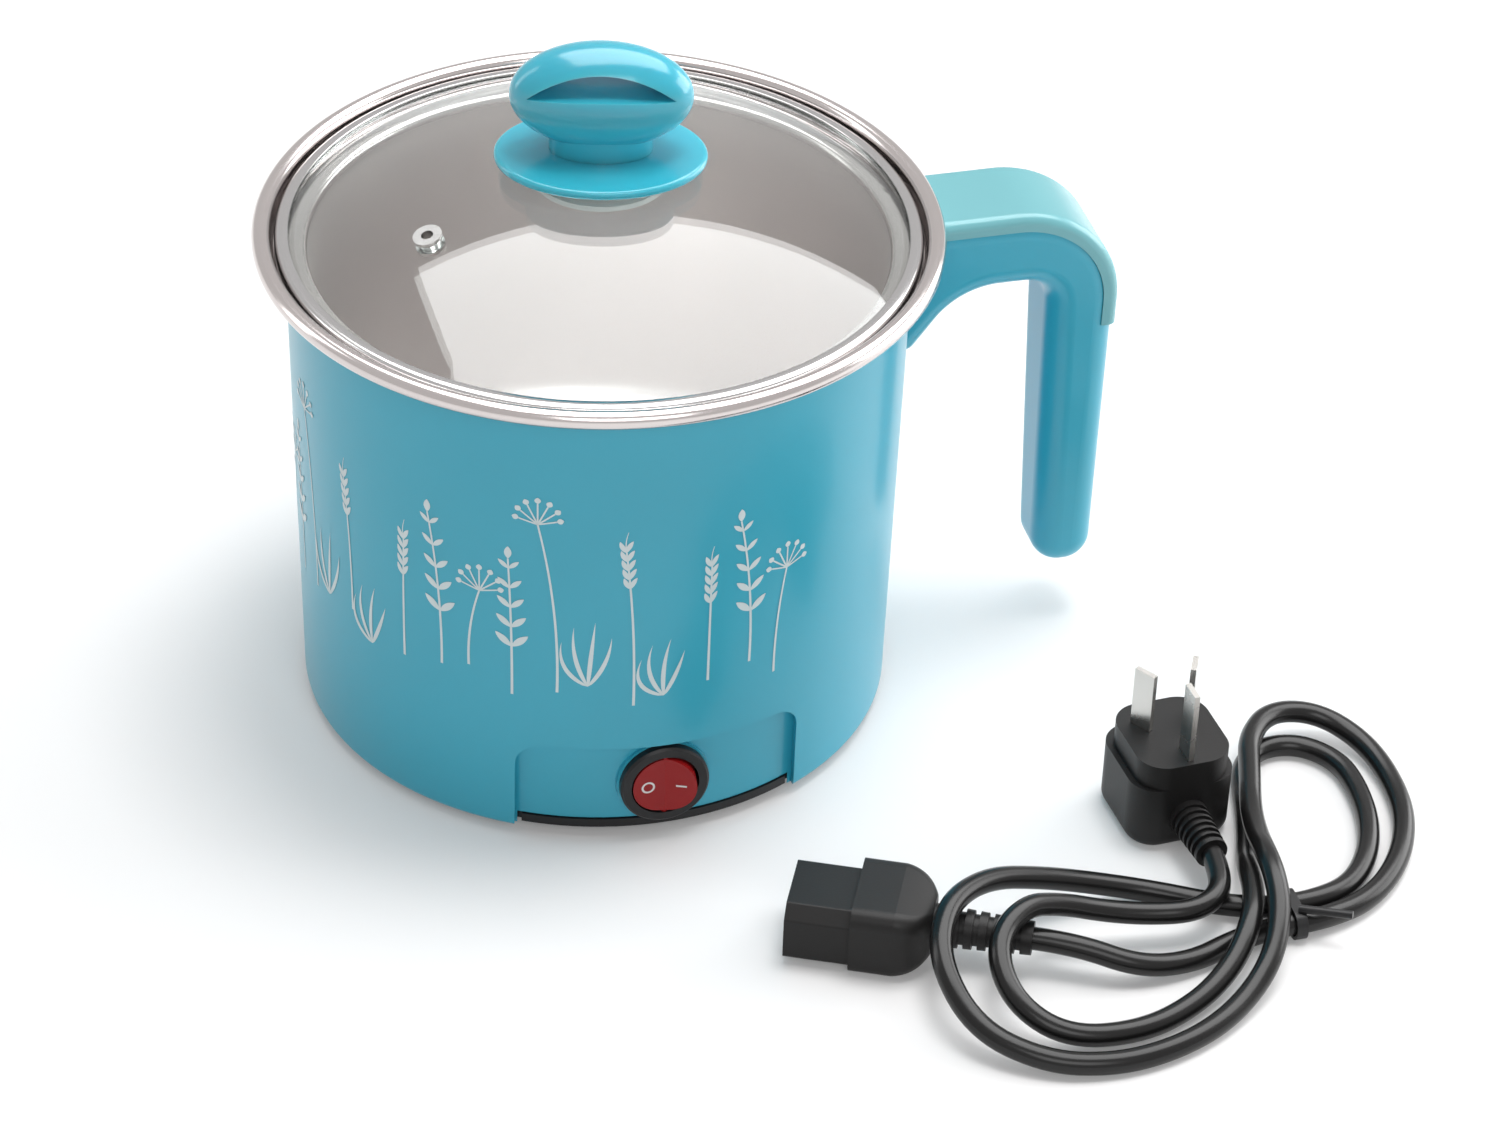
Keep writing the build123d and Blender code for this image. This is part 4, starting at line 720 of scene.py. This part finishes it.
# %% [markdown]
# ## Rocker
# The rocker is red and glossy, and shows which side is off and which is on by a ring and a bar.
# Both marks are thin raised paint: strips of a grid laid on the two halves of the rocker's shallow
# valley, and they ride on the rocker so that they tilt with it.

# %% Rocker
ROCKER_RADIUS = 8.4 * MM
ROCKER_RISE = 1.9 * MM
ROCKER_VALLEY = -0.95 * MM
ROCKER_REST = math.radians(-9.0)
MARK_LIFT = 0.05 * MM
rocker_red = moulded(
    "rocker_red", (0.27, 0.008, 0.009), (0.32, 0.010, 0.011), 0.24, 300.0, 0.00003,
    Coat_Weight=0.08, Coat_Roughness=0.06, Specular_IOR_Level=0.2,
)
mark_white = moulded(
    "mark_white", (0.74, 0.72, 0.71), (0.68, 0.66, 0.65), 0.40, 500.0, 0.00002,
)
dress(rocker_red, "switch_rocker")
rocker_joint = next(joint for joint in frame["joints"] if joint["name"] == "rocker_tilt")


def on_rocker(across, up):
    """A place on the rocker's tilted face, which rises with the distance from its valley."""
    level = ROCKER_VALLEY - ROCKER_RISE * np.abs(across) / ROCKER_RADIUS - MARK_LIFT
    turned_x = across * math.cos(ROCKER_REST) - level * math.sin(ROCKER_REST)
    turned_y = across * math.sin(ROCKER_REST) + level * math.cos(ROCKER_REST)
    return np.stack([turned_x, turned_y, up], axis=-1) + np.array(rocker_joint["pos_m"])


print("rocker pin at", rocker_joint["pos_m"])

# %% Rocker marks
RING_STEPS = 48
RING_PLACE = -4.4 * MM
RING_RADII = np.array([1.25, 1.80]) * MM
BAR_ACROSS = np.array([2.9, 5.7]) * MM
BAR_UP = np.array([-0.28, 0.28]) * MM
ring_angle = np.linspace(0.0, 2.0 * math.pi, RING_STEPS, endpoint=False)
ring_across = RING_PLACE + np.outer(np.cos(ring_angle), RING_RADII)
off_ring = on_rocker(ring_across, np.outer(np.sin(ring_angle), RING_RADII))
on_bar = on_rocker(*np.meshgrid(BAR_ACROSS, BAR_UP, indexing="ij"))
ring_faces = grid_faces(RING_STEPS, 2, around_rows=True)
bar_faces = grid_faces(2, 2)[:, ::-1]
make_piece("off_ring", off_ring, ring_faces, mark_white, "rocker")
make_piece("on_bar", on_bar, bar_faces, mark_white, "rocker")
print("rocker with a ring and a bar")

# %% [markdown]
# ## White print
# The shell carries a fine white print. Printed ink is a very thin film, so each stroke is a ribbon
# laid out on the unrolled shell, in millimetres along and up, and then wrapped on the cone at a
# hair's lift. A stroke is a bowed line with a width along it: a stem narrows a little, a blade
# tapers to a point, a leaf is a lens. Umbels, leafy sprigs, ears and grass tufts are all put
# together from that one stroke.

# %% Strokes
STROKE_STEPS = 15
SHELL_TOP_RADIUS = 81.6 * MM
SHELL_FLARE = 2.1 * MM
PRINT_FACING = math.radians(-103.7)
PRINT_LIFT = 0.07 * MM
along = np.linspace(0.0, 1.0, STROKE_STEPS)
STEM_WIDTHS = 0.75 - 0.25 * along
RAY_WIDTHS = np.full(STROKE_STEPS, 0.45)
BEARD_WIDTHS = 0.4 * (1.0 - 0.6 * along)
LEAF_WIDTHS = np.sin(math.pi * along) ** 0.8
BLADE_WIDTHS = np.sqrt(along) * (1.0 - along) * 2.6


def stroke(foot, tip, bow, widths):
    """A ribbon between two spots in mm.

    A bow pushes its middle sideways as a parabola, and widths spread it to both sides.
    """
    foot, tip = np.array(foot), np.array(tip)
    run = tip - foot
    sideways = np.array([-run[1], run[0]]) / np.hypot(*run)
    push = 4.0 * bow * along * (1.0 - along)
    middle = foot + np.outer(along, run) + np.outer(push, sideways)
    way = np.gradient(middle, axis=0)
    way /= np.linalg.norm(way, axis=1, keepdims=True)
    edge = np.stack([-way[:, 1], way[:, 0]], axis=1) * widths[:, None] / 2.0
    return np.stack([middle + edge, middle - edge], axis=1)


def heading(spot, lean, length):
    """The spot a length away at a lean in degrees from upright."""
    turn = math.radians(lean)
    return (spot[0] + length * math.sin(turn), spot[1] + length * math.cos(turn))


def wrapped(strokes):
    """Unrolled mm wrapped on the cone.

    The azimuth is the run over the radius, and the radius falls with the depth below the top.
    """
    shell_low, shell_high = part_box("outer_shell")
    run, up = strokes[..., 0] * MM, strokes[..., 1] * MM
    depth = (shell_high[2] - up) / (shell_high[2] - shell_low[2])
    radius = SHELL_TOP_RADIUS - SHELL_FLARE * depth + PRINT_LIFT
    azimuth = PRINT_FACING + run / SHELL_TOP_RADIUS
    return np.stack([radius * np.cos(azimuth), radius * np.sin(azimuth), up], axis=-1)


print("strokes of", STROKE_STEPS, "steps")

# %% Umbel and sprig
RAY_LEANS = np.linspace(-75.0, 75.0, 7)
RAY_SHARE, RAY_RISE = 0.72, 0.28
SEED_LENGTH, SEED_WIDTH = 1.9, 1.7
LEAF_LEANS = (-48.0, 48.0)
LEAF_STEPS = range(5, STROKE_STEPS - 1, 2)
LEAF_SHARE, LEAF_LOSS, LEAF_SLIMNESS = 1.15, 0.6, 0.34
TIP_LEAF_SHARE, TIP_LEAF_WIDTH = 0.6, 2.0


def umbel(foot, top, bow, size):
    """A stem whose rays fan out over 150 degrees, longest upright, each with a lens at its end."""
    parts = [stroke(foot, top, bow, STEM_WIDTHS)]
    for lean in RAY_LEANS:
        length = size * (RAY_SHARE + RAY_RISE * math.cos(math.radians(lean)))
        ray_end = heading(top, lean, length)
        seed_end = heading(ray_end, lean, SEED_LENGTH)
        parts.append(stroke(top, ray_end, 0.0, RAY_WIDTHS))
        parts.append(stroke(ray_end, seed_end, 0.0, SEED_WIDTH * LEAF_WIDTHS))
    return parts


def sprig(foot, top, bow, size):
    """A stem with pairs of leaves that get smaller towards a leaf at its tip."""
    stem = stroke(foot, top, bow, STEM_WIDTHS)
    tip = heading(top, 0.0, TIP_LEAF_SHARE * size)
    parts = [stem, stroke(top, tip, 0.0, TIP_LEAF_WIDTH * LEAF_WIDTHS)]
    line = stem.mean(axis=1)
    for step in LEAF_STEPS:
        length = size * (LEAF_SHARE - LEAF_LOSS * along[step])
        for lean in LEAF_LEANS:
            leaf_end = heading(line[step], lean, length)
            parts.append(stroke(line[step], leaf_end, 0.0, LEAF_SLIMNESS * length * LEAF_WIDTHS))
    return parts


print("umbel of", len(RAY_LEANS), "rays, sprig of", len(LEAF_STEPS), "pairs of leaves")

# %% Ear and tuft
GRAIN_LEANS = (-26.0, 26.0)
GRAIN_PAIRS, GRAIN_STEP = 5, 2.9
GRAIN_SHARE, GRAIN_BOW, GRAIN_WIDTH = 0.62, 0.2, 1.3
BEARD_LEAN, BEARD_BOW = 4.0, 0.4
BLADE_LEANS = (-26.0, -11.0, 5.0, 21.0)
BLADE_SHARE, BLADE_LOSS = 0.72, 0.008
BLADE_BOW, BLADE_SLIMNESS = 0.09, 0.19


def ear(foot, top, bow, size):
    """A stem with pairs of slim grains at even steps down from its tip, and a beard."""
    stem = stroke(foot, top, bow, STEM_WIDTHS)
    parts = [stem, stroke(top, heading(top, BEARD_LEAN, size), BEARD_BOW, BEARD_WIDTHS)]
    line = stem.mean(axis=1)
    for pair in range(GRAIN_PAIRS):
        place = 1.0 - pair * GRAIN_STEP / math.dist(foot, top)
        spot = (np.interp(place, along, line[:, 0]), np.interp(place, along, line[:, 1]))
        for lean in GRAIN_LEANS:
            grain_end = heading(spot, lean, GRAIN_SHARE * size)
            parts.append(stroke(spot, grain_end, GRAIN_BOW, GRAIN_WIDTH * LEAF_WIDTHS))
    return parts


def tuft(foot, top, bow, size):
    """Grass blades from one foot, shorter and more bowed the further they lean."""
    parts = []
    for lean in BLADE_LEANS:
        length = (top[1] - foot[1]) * (BLADE_SHARE - BLADE_LOSS * abs(lean))
        blade_end = heading(foot, lean, length)
        widths = BLADE_SLIMNESS * size * BLADE_WIDTHS
        parts.append(stroke(foot, blade_end, bow - BLADE_BOW * lean, widths))
    return parts


motifs = [tuft, umbel, sprig, ear]
print("motifs", [motif.__name__ for motif in motifs])

# %% Print on the shell
PRINT_START, PRINT_END, PRINT_PITCH = -148.0, 62.0, 10.5
FOOT_LOW, FOOT_SPREAD = 45.0, 9.0
TOP_LOW, TOP_SPREAD = 74.0, 32.0
SWAY_STEP, RISE_STEP, FOOT_STEP = 0.618, 0.377, 0.271
FOOT_SWAY, TOP_SWAY, BOW_SWAY = 4.0, 7.0, 3.5
MOTIF_SIZE = 6.4
print_strokes = []
for number, spot in enumerate(np.arange(PRINT_START, PRINT_END, PRINT_PITCH)):
    sway = (SWAY_STEP * number) % 1.0 - 0.5
    rise = (RISE_STEP * number) % 1.0
    foot = (spot - FOOT_SWAY * sway, FOOT_LOW + FOOT_SPREAD * ((FOOT_STEP * number) % 1.0))
    top = (spot + TOP_SWAY * sway, TOP_LOW + TOP_SPREAD * rise)
    # Each round of four motifs starts two places further on than the last
    motif = motifs[(3 * number + 2 * (number // 4)) % len(motifs)]
    print_strokes += motif(foot, top, BOW_SWAY * sway, MOTIF_SIZE)
print_strokes = np.array(print_strokes)
stroke_starts = np.arange(len(print_strokes)) * STROKE_STEPS * 2
print_faces = grid_faces(STROKE_STEPS, 2)[None] + stroke_starts[:, None, None]
print_white = moulded(
    "print_white", (0.66, 0.74, 0.75), (0.58, 0.68, 0.70), 0.36, 700.0, 0.00002,
)
make_piece(
    "shell_print", wrapped(print_strokes), print_faces.reshape(-1, 4), print_white,
    "cooker",
)
print("print of", len(print_strokes), "strokes")
